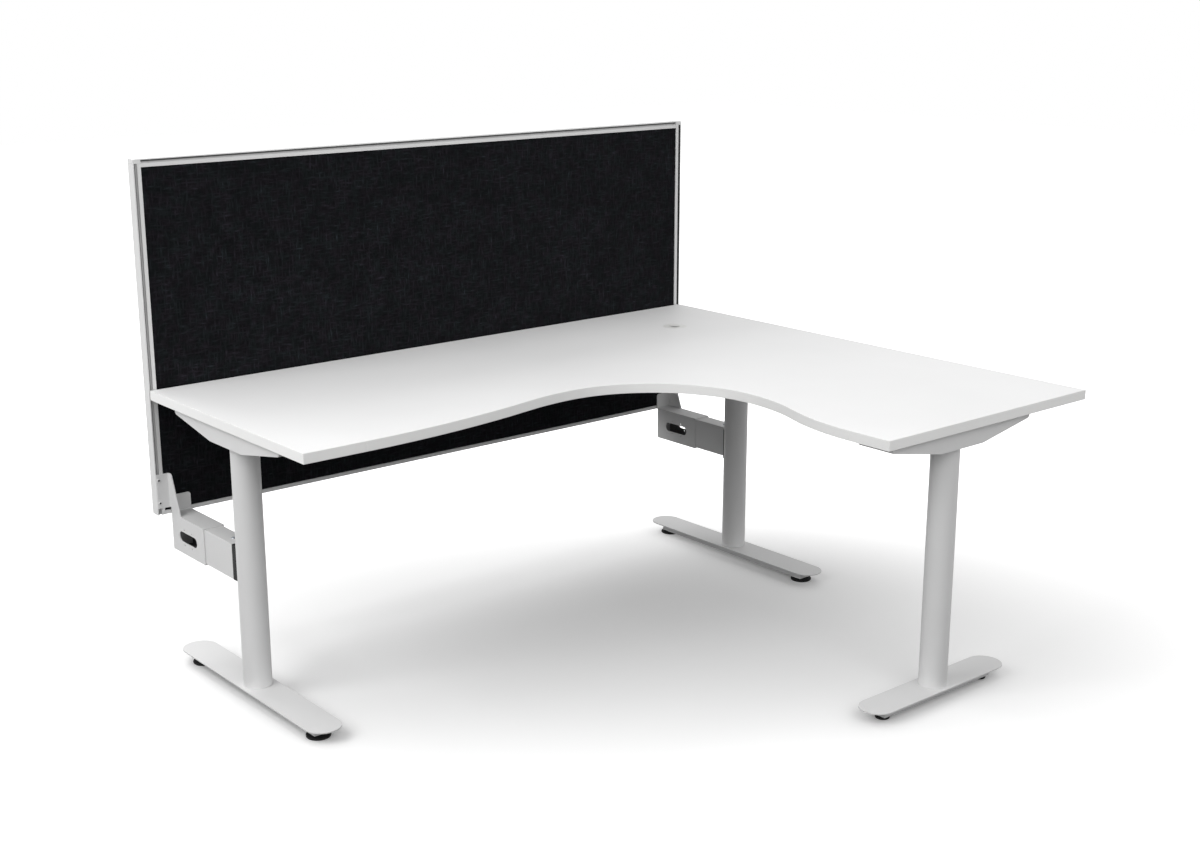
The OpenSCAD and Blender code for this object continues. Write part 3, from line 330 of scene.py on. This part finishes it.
def powder_coat(name, dark, light, peel, depth, roughness):
    """A baked powder coat with an orange peel of the given size."""
    material, tree, place, shader = new_finish(name)
    drift = add_node(tree, "ShaderNodeTexNoise",
                     {"Vector": place, "Scale": DRIFTS, "Detail": 3.0})
    waves = add_node(tree, "ShaderNodeTexNoise",
                     {"Vector": place, "Scale": 1 / peel, "Detail": 1.0, "Roughness": 0.4})
    grit = add_node(tree, "ShaderNodeTexNoise",
                    {"Vector": place, "Scale": 3 / peel, "Detail": 2.0, "Roughness": 0.6})
    both = add_node(tree, "ShaderNodeMath",
                    {0: grit.outputs["Fac"], 1: 0.35, 2: waves.outputs["Fac"]},
                    operation="MULTIPLY_ADD")
    skin = add_node(tree, "ShaderNodeBump",
                    {"Height": both.outputs[0], "Strength": 0.3, "Distance": depth})
    satin = add_node(tree, "ShaderNodeMapRange",
                     {"Value": grit.outputs["Fac"], "From Min": 0.3, "From Max": 0.7,
                      "To Min": roughness - 0.05, "To Max": roughness + 0.05})
    plug(shader, {"Base Color": ramp(tree, drift.outputs["Fac"], ((0.3, dark), (0.7, light))),
                  "Roughness": satin.outputs["Result"], "Normal": skin.outputs["Normal"],
                  "IOR": 1.5, "Specular IOR Level": 0.2})
    return material


COAT_GREY = "#DEDEDE", "#E2E2E2"
EXTRUSION_SKIN = 1.8 * MM, 0.06 * MM, 0.40         # peel, its depth and roughness

# Painted shade: a darker coat inside a tube, where shade falls and where sprayed powder hardly
# gets, so the dull steel shows through
tube_shade_coat = powder_coat("powder_coat_painted_tube_shade", "#6C6C6D", "#787879", 1.8 * MM, 0.04 * MM, 0.55)
# Orange peel is about 2 to 3 mm from crest to crest on steel of this size
steel_coat = powder_coat("pale_grey_powder_coat", *COAT_GREY, 2.6 * MM, 0.12 * MM, 0.50)
frame_coat = powder_coat("coated_aluminium_extrusion", *COAT_GREY, *EXTRUSION_SKIN)
print("made", steel_coat.name, frame_coat.name, tube_shade_coat.name)

# %% [markdown]
# ## Plated and blackened steel
# Screws and bolts are zinc plated: bright, slightly blue, with a fine grain.
# The four screws in the screen plates are blackened, and their sockets read
# as dark dots.

# %% Plated steel
PLATE_GRAIN = 1.0 * MM   # real grain is far finer, drawn coarser to show


def plated_steel(name, dark, light, roughness):
    """Plated steel with a fine grain in tone and gloss."""
    material, tree, place, shader = new_finish(name)
    grain = add_node(tree, "ShaderNodeTexNoise",
                     {"Vector": place, "Scale": 1 / PLATE_GRAIN, "Detail": 3.0, "Roughness": 0.6})
    gloss = add_node(tree, "ShaderNodeMapRange",
                     {"Value": grain.outputs["Fac"], "From Min": 0.3, "From Max": 0.7,
                      "To Min": roughness - 0.06, "To Max": roughness + 0.06})
    plug(shader, {"Base Color": ramp(tree, grain.outputs["Fac"], ((0.3, dark), (0.7, light))),
                  "Roughness": gloss.outputs["Result"], "Metallic": 1.0})
    return material


zinc = plated_steel("bright_zinc_plate", "#BFC3C8", "#CDD0D4", 0.30)
black_oxide = plated_steel("blackened_steel", "#1C1C1E", "#262628", 0.42)
print("made", zinc.name, black_oxide.name)

# %% [markdown]
# ## Chipboard
# Raw chipboard is the core inside the screen: pale flakes in a darker glue
# line.

# %% Chipboard
FLAKE = 4 * MM

chipboard, tree, place, shader = new_finish("raw_chipboard")
flakes = add_node(tree, "ShaderNodeTexVoronoi", {"Vector": place, "Scale": 1 / FLAKE})
tone = ramp(tree, flakes.outputs["Distance"],
            ((0.1, "#B8A07A"), (0.5, "#C9B58F"), (0.9, "#8E7853")))
chip = add_node(tree, "ShaderNodeBump",
                {"Height": flakes.outputs["Distance"], "Strength": 0.4, "Distance": 0.3 * MM})
plug(shader, {"Base Color": tone, "Normal": chip.outputs["Normal"], "Roughness": 0.85})
print("made", chipboard.name)

# %% [markdown]
# ## Screen fabric
# The screen is covered in a plain-woven polyester, near black with a hint of
# blue. Its yarn is uneven, so slightly lighter slubs run along the warp and
# the weft for a centimetre or two, and the cloth looks mottled from a few
# steps away. A drift between violet and teal, which barely shows, stands for
# yarn of two dye lots.

# %% Screen fabric
SLUB_LENGTH = 28 * MM
SLUB_WIDTH = 5 * MM

weave, tree, place, shader = new_finish("near_black_woven_polyester")
streaks = []
for length_axis in (0, 2):
    stretch = [1 / SLUB_WIDTH] * 3
    stretch[length_axis] = 1 / SLUB_LENGTH
    along = add_node(tree, "ShaderNodeMapping", {"Vector": place, "Scale": stretch})
    streaks.append(add_node(tree, "ShaderNodeTexNoise",
                            {"Vector": along.outputs["Vector"], "Scale": 1.0, "Detail": 3.0,
                             "Roughness": 0.62}))
slubs = add_node(tree, "ShaderNodeMath",
                 {0: streaks[0].outputs["Fac"], 1: streaks[1].outputs["Fac"]},
                 operation="MAXIMUM")
blotch = add_node(tree, "ShaderNodeTexNoise", {"Vector": place, "Scale": 14.0, "Detail": 2.0})
uneven = add_node(tree, "ShaderNodeMath",
                  {0: blotch.outputs["Fac"], 1: 0.2, 2: slubs.outputs[0]},
                  operation="MULTIPLY_ADD")
tone = ramp(tree, uneven.outputs[0],
            ((0.50, "#0E0E10"), (0.63, "#161618"), (0.77, "#212124"), (0.90, "#323239")))
lot = add_node(tree, "ShaderNodeTexNoise", {"Vector": place, "Scale": 34.0, "Detail": 3.0})
cast = ramp(tree, lot.outputs["Fac"], ((0.42, "#FFF4FF"), (0.58, "#ECFFFC")))
dyed = add_node(tree, "ShaderNodeVectorMath", {0: tone, 1: cast}, operation="MULTIPLY")
print("dyed", weave.name)

# %% [markdown]
# ## Weave
# Close to, the weave itself shows. Two sets of waves, one along each yarn, are
# multiplied, which leaves a bump wherever two yarns cross. The slubs stand
# proud of it. Cloth has next to no gloss, and its loose fibres a weak sheen.

# %% Weave
YARN = 1.8 * MM          # real yarns are about 0.8 mm, drawn coarser to show
WAVE_UNIT = math.pi / 10           # a wave texture of scale 1 repeats at this distance

threads = [add_node(tree, "ShaderNodeTexWave",
                    {"Vector": place, "Scale": WAVE_UNIT / YARN,
                     "Distortion": 0.6, "Detail": 1.0},
                    wave_type="BANDS", bands_direction=direction) for direction in ("X", "Z")]
crossing = add_node(tree, "ShaderNodeMath",
                    {0: threads[0].outputs["Fac"], 1: threads[1].outputs["Fac"]},
                    operation="MULTIPLY")
yarn_bump = add_node(tree, "ShaderNodeBump",
                     {"Height": crossing.outputs[0], "Strength": 0.5, "Distance": 0.4 * MM})
slub_bump = add_node(tree, "ShaderNodeBump",
                     {"Height": slubs.outputs[0], "Strength": 0.4, "Distance": 0.5 * MM,
                      "Normal": yarn_bump.outputs["Normal"]})
plug(shader, {"Base Color": dyed.outputs["Vector"], "Normal": slub_bump.outputs["Normal"],
              "Roughness": 0.92, "Specular IOR Level": 0.05,
              "Sheen Weight": 0.02, "Sheen Roughness": 0.5})
print("made", weave.name)

# %% [markdown]
# ## Showing a piece and saying what it is
# A finished piece is smooth except at its sharp edges, and a weighted normal
# keeps its flats flat.

# %% Helpers for pieces
SHARP = math.radians(35)
MERGE = 0.001 * MM       # vertices closer than this are one
BODY_OF = {name: body for body, names in frame["record"]["behaviour"]["bodies"].items()
           for name in names}


def show(mesh, name, material):
    """Makes a finished object of a bmesh, with smooth faces and its sharp edges marked."""
    bmesh.ops.recalc_face_normals(mesh, faces=mesh.faces)
    for face in mesh.faces:
        face.smooth = True
    for edge in mesh.edges:
        edge.smooth = not (edge.is_manifold and edge.calc_face_angle() > SHARP)
    piece = make_object(mesh, name, material)
    flats = piece.modifiers.new("flats", "WEIGHTED_NORMAL")
    flats.keep_sharp = True
    return piece


def dress(piece, body, slot, *nodes):
    """Says which body a piece rides on and what it stands for; the slot is not used."""
    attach(piece, body)
    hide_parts(*nodes)
    print(piece.name, "on", body, "faces", len(piece.data.polygons))
    return piece


print("edges sharper than", round(math.degrees(SHARP)), "degrees stay crisp")

# %% [markdown]
# ## Broken edges
# No sheet, tube or board has a knife edge. Each visible part is copied from
# its solid, its triangles are merged into clean faces, and the edges that a
# hand would feel are bevelled. On a part with drilled holes only the long
# edges are broken, and the rims stay sharp, as the drill leaves them.

# %% Helper for broken edges
SHORTEST = 0.35 * MM
FLAT = math.radians(0.4)


def merged(node):
    """A bmesh copy of a node, with its loose triangles joined up."""
    mesh = bmesh.new()
    mesh.from_mesh(frame["nodes"][node].data)
    bmesh.ops.remove_doubles(mesh, verts=mesh.verts, dist=MERGE)
    return mesh


def is_long(edge):
    """True for the long edges of a tube, and not for those round its holes."""
    return edge.calc_length() > 15 * MM


def break_edges(node, material, slot, width, steps=2, where=None):
    """A copy of a node with its sharp edges bevelled by width."""
    mesh = merged(node)
    bmesh.ops.dissolve_limit(mesh, angle_limit=FLAT, verts=mesh.verts, edges=mesh.edges)
    sharp = [edge for edge in mesh.edges
             if edge.is_manifold and edge.calc_face_angle() > SHARP
             and edge.calc_length() > SHORTEST and (where is None or where(edge))]
    bmesh.ops.bevel(mesh, geom=sharp, offset=width, offset_type="OFFSET", affect="EDGES",
                    segments=steps, profile=0.5, material=-1, clamp_overlap=True)
    return dress(show(mesh, node + "_finished", material), BODY_OF[node], slot, node)


print("edges shorter than", SHORTEST, "m stay as they are")

# %% [markdown]
# ## Worktop
# The board's faces need only their melamine. The edge band is trimmed flush
# and its two outer corners are scraped to a small round, which catches a thin
# line of light all along the wave.

# %% Worktop and edge band
BAND_ROUND = 1.2 * MM


def key(vertex):
    """A vertex's place, rounded so that those of two meshes can be compared."""
    return tuple(round(c, 5) for c in vertex.co)


board_places = {key(vertex) for vertex in frame["nodes"]["worktop_board"].data.vertices}


def away_from_board(edge):
    """True where neither end of an edge touches the board."""
    return not any(key(vertex) in board_places for vertex in edge.verts)


break_edges("edge_band", edge_abs, "white_edging", BAND_ROUND, 3, away_from_board)

# %% [markdown]
# ## Columns
# Each leg is a round tube between a flat foot bar and a folded bracket under
# the worktop. The tube is turned from its half section, with the small chamfer
# that deburring leaves at both ends.

# %% Columns
LEGS = ("left", "corner", "wing")
COLUMN_STEPS = 96
COLUMN_CHAMFER = 0.8 * MM


def spin_section(mesh, section, centre, steps):
    """Turns a half section of (radius, height) points round a vertical axis."""
    line = [mesh.verts.new((centre[0] + radius, centre[1], height)) for radius, height in section]
    edges = [mesh.edges.new(pair) for pair in zip(line, line[1:])]
    bmesh.ops.spin(mesh, geom=line + edges, cent=(centre[0], centre[1], 0), axis=(0, 0, 1),
                   angle=2 * math.pi, steps=steps, use_merge=True)


def turned(node, material, slot, section, steps):
    """A closed piece of revolution, on the middle of the node that it stands for."""
    low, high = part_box(node)
    mesh = bmesh.new()
    spin_section(mesh, section, (low + high) / 2, steps)
    bmesh.ops.remove_doubles(mesh, verts=mesh.verts, dist=MERGE)
    return dress(show(mesh, node + "_finished", material), BODY_OF[node], slot, node)


for leg in LEGS:
    low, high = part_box(leg + "_column")
    radius = (high.x - low.x) / 2
    c = COLUMN_CHAMFER
    turned(leg + "_column", steel_coat, "frame_paint",
           [(0, low.z), (radius - c, low.z), (radius, low.z + c),
            (radius, high.z - c), (radius - c, high.z), (0, high.z)], COLUMN_STEPS)

# %% [markdown]
# ## Feet and brackets
# The flat bars, the box channels under them and the folded brackets are solids
# already. A bar is cut and ground, a channel and a bracket are bent, so theirs
# are rounder.

# %% Feet and brackets
for leg in LEGS:
    break_edges(leg + "_foot_plate", steel_coat, "frame_paint", 0.9 * MM)
    break_edges(leg + "_foot_channel", steel_coat, "frame_paint", 1.6 * MM, 3, is_long)
    break_edges(leg + "_top_bracket", steel_coat, "frame_paint", 1.0 * MM, 3)

# %% [markdown]
# ## Levelling glides
# A round nylon pad on a threaded stem stands under each end of a foot. The
# pad is turned with a rounded rim and a shallow cone on top, and the stem has
# a thread of ridges that shows when a glide is wound down.

# %% Glides
PAD_H = 8 * MM
STEM_R = 5 * MM
PITCH = 1.5 * MM
THREAD_DEPTH = 0.6 * MM
STEM_CHAMFER = 0.8 * MM
GLIDE_STEPS = 64


def glide_section(radius, top):
    """Half section of a glide from the middle of its base to its stem's end."""
    points = [(0, 0), (radius - 3 * MM, 0), (radius - 1.2 * MM, 0.6 * MM),
              (radius - 0.3 * MM, 1.6 * MM), (radius, 3 * MM), (radius, PAD_H - 3.2 * MM),
              (radius - 0.4 * MM, PAD_H - 2 * MM), (radius - 1.6 * MM, PAD_H - 1.1 * MM),
              (radius - 4 * MM, PAD_H - 0.5 * MM), (radius * 0.55, PAD_H), (STEM_R, PAD_H)]
    height = PAD_H + PITCH / 2
    while height < top - PITCH:
        points += [(STEM_R - THREAD_DEPTH, height), (STEM_R, height + PITCH / 2)]
        height += PITCH
    return points + [(STEM_R, top - STEM_CHAMFER), (STEM_R - STEM_CHAMFER, top), (0, top)]


for leg in LEGS:
    for end in ("front", "rear"):
        node = f"{leg}_{end}_glide"
        low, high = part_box(node)
        turned(node, black_nylon, "black_plastic",
               glide_section((high.x - low.x) / 2, high.z), GLIDE_STEPS)

# %% [markdown]
# ## Arms that carry the screen
# Two telescoping arms reach back from the legs. Each inner arm is a tube, and
# the outer sleeve is folded with its web and plates from one sheet. The
# saddles that join arm and column are moulded in black nylon.

# %% Arms and saddles
WALL = 2.5 * MM
SLACK = 0.8 * MM         # more than the play between sleeve and arm, less than a wall


def paint_shade_inside(piece, low, high):
    """Gives the darker coat, painted shade, to the walls of a tube that face into a box of X and
    Z.
    """
    piece.data.materials.append(tube_shade_coat)
    shaded_faces = 0
    for face in piece.data.polygons:
        x, _, z = face.center
        if abs(face.normal.y) < 0.5 and low.x < x < high.x and low.z < z < high.z:
            face.material_index = 1
            shaded_faces += 1
    print(piece.name, "inner faces", shaded_faces)


for end in ("left", "corner"):
    low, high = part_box(end + "_inner_arm")
    hollow, slack = Vector.Fill(3, WALL - SLACK), Vector.Fill(3, SLACK)
    arm = break_edges(end + "_inner_arm", steel_coat, "frame_paint", 1.2 * MM, 3, is_long)
    # Painted shade on the walls inside the inner arm, and below on those inside the sleeve
    paint_shade_inside(arm, low + hollow, high - hollow)
    sleeve = break_edges(end + "_screen_bracket", steel_coat, "frame_paint", 0.5 * MM)
    paint_shade_inside(sleeve, low - slack, high + slack)
    break_edges(end + "_clamp_plate", steel_coat, "frame_paint", 0.6 * MM)
    break_edges(end + "_saddle", black_nylon, "black_plastic", 0.8 * MM)

# %% [markdown]
# ## Painted shade in the frame's groove
# The frame is an extrusion with an accessory groove on both faces. The coat
# there has a band of painted shade in the groove's outer half, behind the outer
# lip, that follows the distance from the screen's outer edge.

# %% Painted shade inside the groove
GROOVE_FROM, GROOVE_TO = 2.4 * MM, 12.1 * MM       # distance from the screen's outer edge
GROOVED = "screen_top_rail", "screen_left_stile", "screen_corner_stile"

screen_low, screen_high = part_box("screen_core")
for part in GROOVED:
    low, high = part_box(part)
    screen_low = Vector(map(min, screen_low, low))
    screen_high = Vector(map(max, screen_high, high))


def with_painted_groove_shade(material):
    """Paints shade into a coat: a dark band along the screen's top and side edges."""
    tree = material.node_tree
    shader = next(node for node in tree.nodes if node.type == "BSDF_PRINCIPLED")
    coat = shader.inputs["Base Color"].links[0].from_socket
    place = add_node(tree, "ShaderNodeTexCoord").outputs["Object"]
    axes = add_node(tree, "ShaderNodeSeparateXYZ", {"Vector": place}).outputs
    insets = [add_node(tree, "ShaderNodeMath", {0: axes[axis], 1: sign, 2: -sign * edge},
                       operation="MULTIPLY_ADD").outputs[0]
              for axis, sign, edge in (("X", 1, screen_low.x), ("X", -1, screen_high.x),
                                       ("Z", -1, screen_high.z))]
    nearest = insets[0]
    for inset in insets[1:]:
        nearest = add_node(tree, "ShaderNodeMath", {0: nearest, 1: inset},
                           operation="MINIMUM").outputs[0]
    across = add_node(tree, "ShaderNodeMapRange",
                      {"Value": nearest, "From Min": GROOVE_FROM, "From Max": GROOVE_TO})
    shade = ramp(tree, across.outputs["Result"],
                 ((0.0, "#505050"), (0.34, "#585858"), (0.62, "#F0F0F0")))
    groove_shade_colour = add_node(tree, "ShaderNodeVectorMath", {0: coat, 1: shade}, operation="MULTIPLY")
    plug(shader, {"Base Color": groove_shade_colour.outputs["Vector"]})
    return material


# The frame's coat with a band of painted shade inside the groove
groove_shade_coat = with_painted_groove_shade(powder_coat("coated_aluminium_painted_groove_shade", *COAT_GREY, *EXTRUSION_SKIN))
print("made", groove_shade_coat.name)

# %% [markdown]
# ## Screen frame
# Extruded lips have edges of about half a millimetre. A small corner piece
# closes the frame at each end of its top. The faces that lie deeper than the
# lips, and as far from the outer edge as the groove, get the coat with painted
# shade.

# %% Screen frame
GROOVE_MOUTH = 0.6 * MM  # a face that lies deeper than this is inside the groove
OUTER_EDGE = {
    "screen_top_rail": lambda place: screen_high.z - place.z,
    "screen_left_stile": lambda place: place.x - screen_low.x,
    "screen_corner_stile": lambda place: screen_high.x - place.x,
}


def paint_groove_shade(piece, distance):
    """Gives the inside of a frame part's grooves the coat with painted shade; distance is that
    from its outer edge.
    """
    piece.data.materials.append(groove_shade_coat)
    shaded_faces = 0
    for face in piece.data.polygons:
        depth = min(face.center.y - screen_low.y, screen_high.y - face.center.y)
        if depth > GROOVE_MOUTH and GROOVE_FROM < distance(face.center) < GROOVE_TO:
            face.material_index = 1
            shaded_faces += 1
    print(piece.name, "groove faces", shaded_faces)


for part in ("top_rail", "bottom_rail", "left_stile", "corner_stile", "corner_pieces"):
    node = "screen_" + part
    piece = break_edges(node, frame_coat, "screen_frame", 0.4 * MM)
    if node in GROOVED:
        # Painted shade in the grooves of the top rail and both stiles
        paint_groove_shade(piece, OUTER_EDGE[node])

# %% [markdown]
# ## Upholstered faces
# Cloth is stretched over each side of the core, and its edges are tucked into
# the frame. A grid of faces is the cloth: its rim is folded back and rounded
# over, the rim lies a fraction deeper than the middle, and a very slow ripple
# of a few tenths of a millimetre stands for the hand-stretched tension.

# %% Upholstered faces
CLOTH = 1 * MM
ROLL = 3 * MM            # radius of the fold at the rim
CLOTH_STEPS = 88, 44
RIPPLE = 0.25 * MM
RIPPLES = 5              # to a metre
RIM_WIDTH, RIM_DEPTH = 40 * MM, 0.35 * MM


def folded_grid(width, height, depth):
    """A flat cloth whose rim is folded back by depth and rounded over."""
    mesh = bmesh.new()
    bmesh.ops.create_grid(mesh, x_segments=CLOTH_STEPS[0], y_segments=CLOTH_STEPS[1], size=0.5)
    bmesh.ops.scale(mesh, vec=(width, height, 1), verts=mesh.verts)
    rim = [edge for edge in mesh.edges if edge.is_boundary]
    tucked = bmesh.ops.extrude_edge_only(mesh, edges=rim)["geom"]
    tucked = [v for v in tucked if isinstance(v, bmesh.types.BMVert)]
    bmesh.ops.translate(mesh, vec=(0, 0, -depth), verts=tucked)
    fold = [edge for edge in mesh.edges if edge.is_manifold and edge.calc_face_angle() > SHARP
            and all(v.co.z > -ROLL / 2 for v in edge.verts)]
    bmesh.ops.bevel(mesh, geom=fold, offset=ROLL, offset_type="OFFSET", affect="EDGES",
                    segments=5, profile=0.5, material=-1)
    return mesh


def upholster(name, node, outward):
    """A stretched cloth in the space of a fabric solid, facing outward along Y."""
    low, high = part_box(node)
    face_y, back_y = (low.y, high.y) if outward < 0 else (high.y, low.y)
    width, height = high.x - low.x, high.z - low.z
    mesh = folded_grid(width, height, abs(back_y - face_y) - CLOTH)
    for vertex in mesh.verts:
        x, y = vertex.co.x, vertex.co.y
        inset = min(width / 2 - abs(x), height / 2 - abs(y))
        share = min(max(inset / RIM_WIDTH, 0.0), 1.0)
        swell = noise.noise((x * RIPPLES, y * RIPPLES, outward * 7.0)) * RIPPLE
        vertex.co.z -= share * abs(swell) + (1 - share) * RIM_DEPTH
    turn = Matrix.Rotation(math.radians(90), 4, "X")
    if outward > 0:
        turn = Matrix.Rotation(math.pi, 4, "Z") @ turn
    place = Matrix.Translation(((low.x + high.x) / 2, face_y, (low.z + high.z) / 2)) @ turn
    bmesh.ops.transform(mesh, matrix=place, verts=mesh.verts)
    for face in mesh.faces:
        face.smooth = True
    cloth = make_object(mesh, name, weave)
    wall = cloth.modifiers.new("cloth", "SOLIDIFY")
    wall.thickness = CLOTH
    wall.offset = -1.0
    dress(cloth, "screen", "dark_fabric", node)


upholster("front_cloth", "front_fabric", -1)
upholster("rear_cloth", "rear_fabric", 1)

# %% [markdown]
# ## Cable grommet
# The collar and its lift-out cap are moulded. Their solids already are true
# pieces of revolution, so only the rims that the tool rounds are broken.

# %% Grommet
for part in ("grommet_collar", "grommet_cap"):
    break_edges(part, grommet_abs, "white_plastic", 0.5 * MM, 3)

# %% [markdown]
# ## Measuring the plain screws
# A node of screws holds several solids. Place, head, shank and length of each
# new screw are measured on the solid that it stands for, so first the node is
# taken apart: from one vertex, its neighbours are followed until none is left.

# %% Solids of a node
def solids(node):
    """The vertices of each separate solid in a node, as lists of places."""
    mesh = merged(node)
    left, found = set(mesh.verts), []
    while left:
        solid, to_follow = set(), [left.pop()]
        while to_follow:
            vertex = to_follow.pop()
            solid.add(vertex)
            near = {edge.other_vert(vertex) for edge in vertex.link_edges} & left
            left -= near
            to_follow += near
        found.append([vertex.co.copy() for vertex in solid])
    mesh.free()
    return found


print("plate screws:", len(solids("plate_screws")))

# %% [markdown]
# ## A screw with a socket
# Screw heads are low domes with a hexagon socket. A half section is spun
# round its axis, and then the socket's round wall is pulled into a hexagon:
# with 24 steps to a turn, every fourth point is one of its corners.

# %% Socket screw
SCREW_STEPS = 24
SOCKET_SHARE = 0.62      # of the head's radius, across the corners
SOCKET_DEPTH = 0.65      # of the head's height
SOCKET_RIM = 0.04        # of the head's height
DOME = ((0.72, 0.06), (0.9, 0.24), (1, 0.6), (1, 1))     # shares of radius and height
TIP_CHAMFER = 0.5 * MM
CLOSE = 0.01 * MM        # places nearer than this are at one level
HEXAGON = math.radians(30)         # from a corner to the middle of a side


def socket_screw(mesh, head_r, head_h, shank_r, length):
    """A screw along -Z whose head's top is at the origin. Returns its vertices."""
    socket, floor_z = head_r * SOCKET_SHARE, -head_h * SOCKET_DEPTH
    section = [(0, floor_z), (socket, floor_z), (socket, -SOCKET_RIM * head_h), (socket * 1.1, 0)]
    section += [(head_r * out, -head_h * down) for out, down in DOME]
    section += [(shank_r, -head_h), (shank_r, TIP_CHAMFER - length),
                (shank_r - TIP_CHAMFER, -length), (0, -length)]
    before = set(mesh.verts)
    spin_section(mesh, section, (0, 0), SCREW_STEPS)
    made = [vertex for vertex in mesh.verts if vertex not in before]
    for vertex in made:
        radius = vertex.co.xy.length
        if abs(radius - socket) < CLOSE and vertex.co.z > floor_z - CLOSE:
            turn = math.atan2(vertex.co.y, vertex.co.x) % (2 * HEXAGON) - HEXAGON
            vertex.co.xy *= math.cos(HEXAGON) / math.cos(turn)
    # The head, outside its socket, gets the second material
    for face in {face for vertex in made for face in vertex.link_faces}:
        outside = face.calc_center_median().xy.length > socket * 0.98
        on_head = min(vertex.co.z for vertex in face.verts) > -1.01 * head_h
        face.material_index = int(outside and on_head and face.normal.z > -0.5)
    return made


print("a socket is", SOCKET_SHARE, "of its head across the corners")

# %% [markdown]
# ## Screws in their places
# The heads in the screen plates are sprayed with the plates, and only their
# sockets stay black.

# %% Screws
def screws(node, material, slot, outward, head=None):
    """Screws with sockets in place of a node's plain ones; their heads look outward."""
    outward = Vector(outward)
    turn = outward.to_track_quat("Z", "Y").to_matrix().to_4x4()
    mesh = bmesh.new()
    for places in solids(node):
        depth = [place.dot(outward) for place in places]
        top, end = max(depth), min(depth)
        heads = [place for place, d in zip(places, depth) if top - d < CLOSE]
        centre = sum(heads, Vector()) / len(heads)
        radii = [(place - centre - outward * (place - centre).dot(outward)).length
                 for place in places]
        head_r = max(radii)
        shank_r = max(r for r, d in zip(radii, depth) if d - end < CLOSE)
        head_h = top - min(d for r, d in zip(radii, depth) if r > (head_r + shank_r) / 2)
        made = socket_screw(mesh, head_r, head_h, shank_r, top - end)
        bmesh.ops.transform(mesh, matrix=Matrix.Translation(centre) @ turn, verts=made)
    bmesh.ops.remove_doubles(mesh, verts=mesh.verts, dist=MERGE)
    piece = show(mesh, node + "_finished", material)
    piece.data.materials.append(head or material)
    dress(piece, BODY_OF[node], slot, node)


screws("plate_screws", black_oxide, "black_steel", (0, -1, 0), head=steel_coat)
screws("arm_top_screws", zinc, "zinc", (0, 0, 1))
screws("lock_screws", zinc, "zinc", (0, 0, -1))
screws("worktop_screws", zinc, "zinc", (0, 0, -1))

# %% [markdown]
# ## Parts that keep their solids
# Everything else has the right shape already. Each solid gets the finish of
# the slot that the record gives it.

# %% Finishes of the remaining solids
FINISH_OF = {
    "frame_paint": steel_coat, "zinc": zinc, "core_board": chipboard, "white_board": melamine,
    "black_plastic": black_nylon,
}
for part in frame["record"]["subparts"]:
    node = frame["nodes"][part["node"]]
    if not node.hide_render:
        node.data.materials.clear()
        node.data.materials.append(FINISH_OF[part["material_slot"]])
        print(part["node"], "has", FINISH_OF[part["material_slot"]].name)
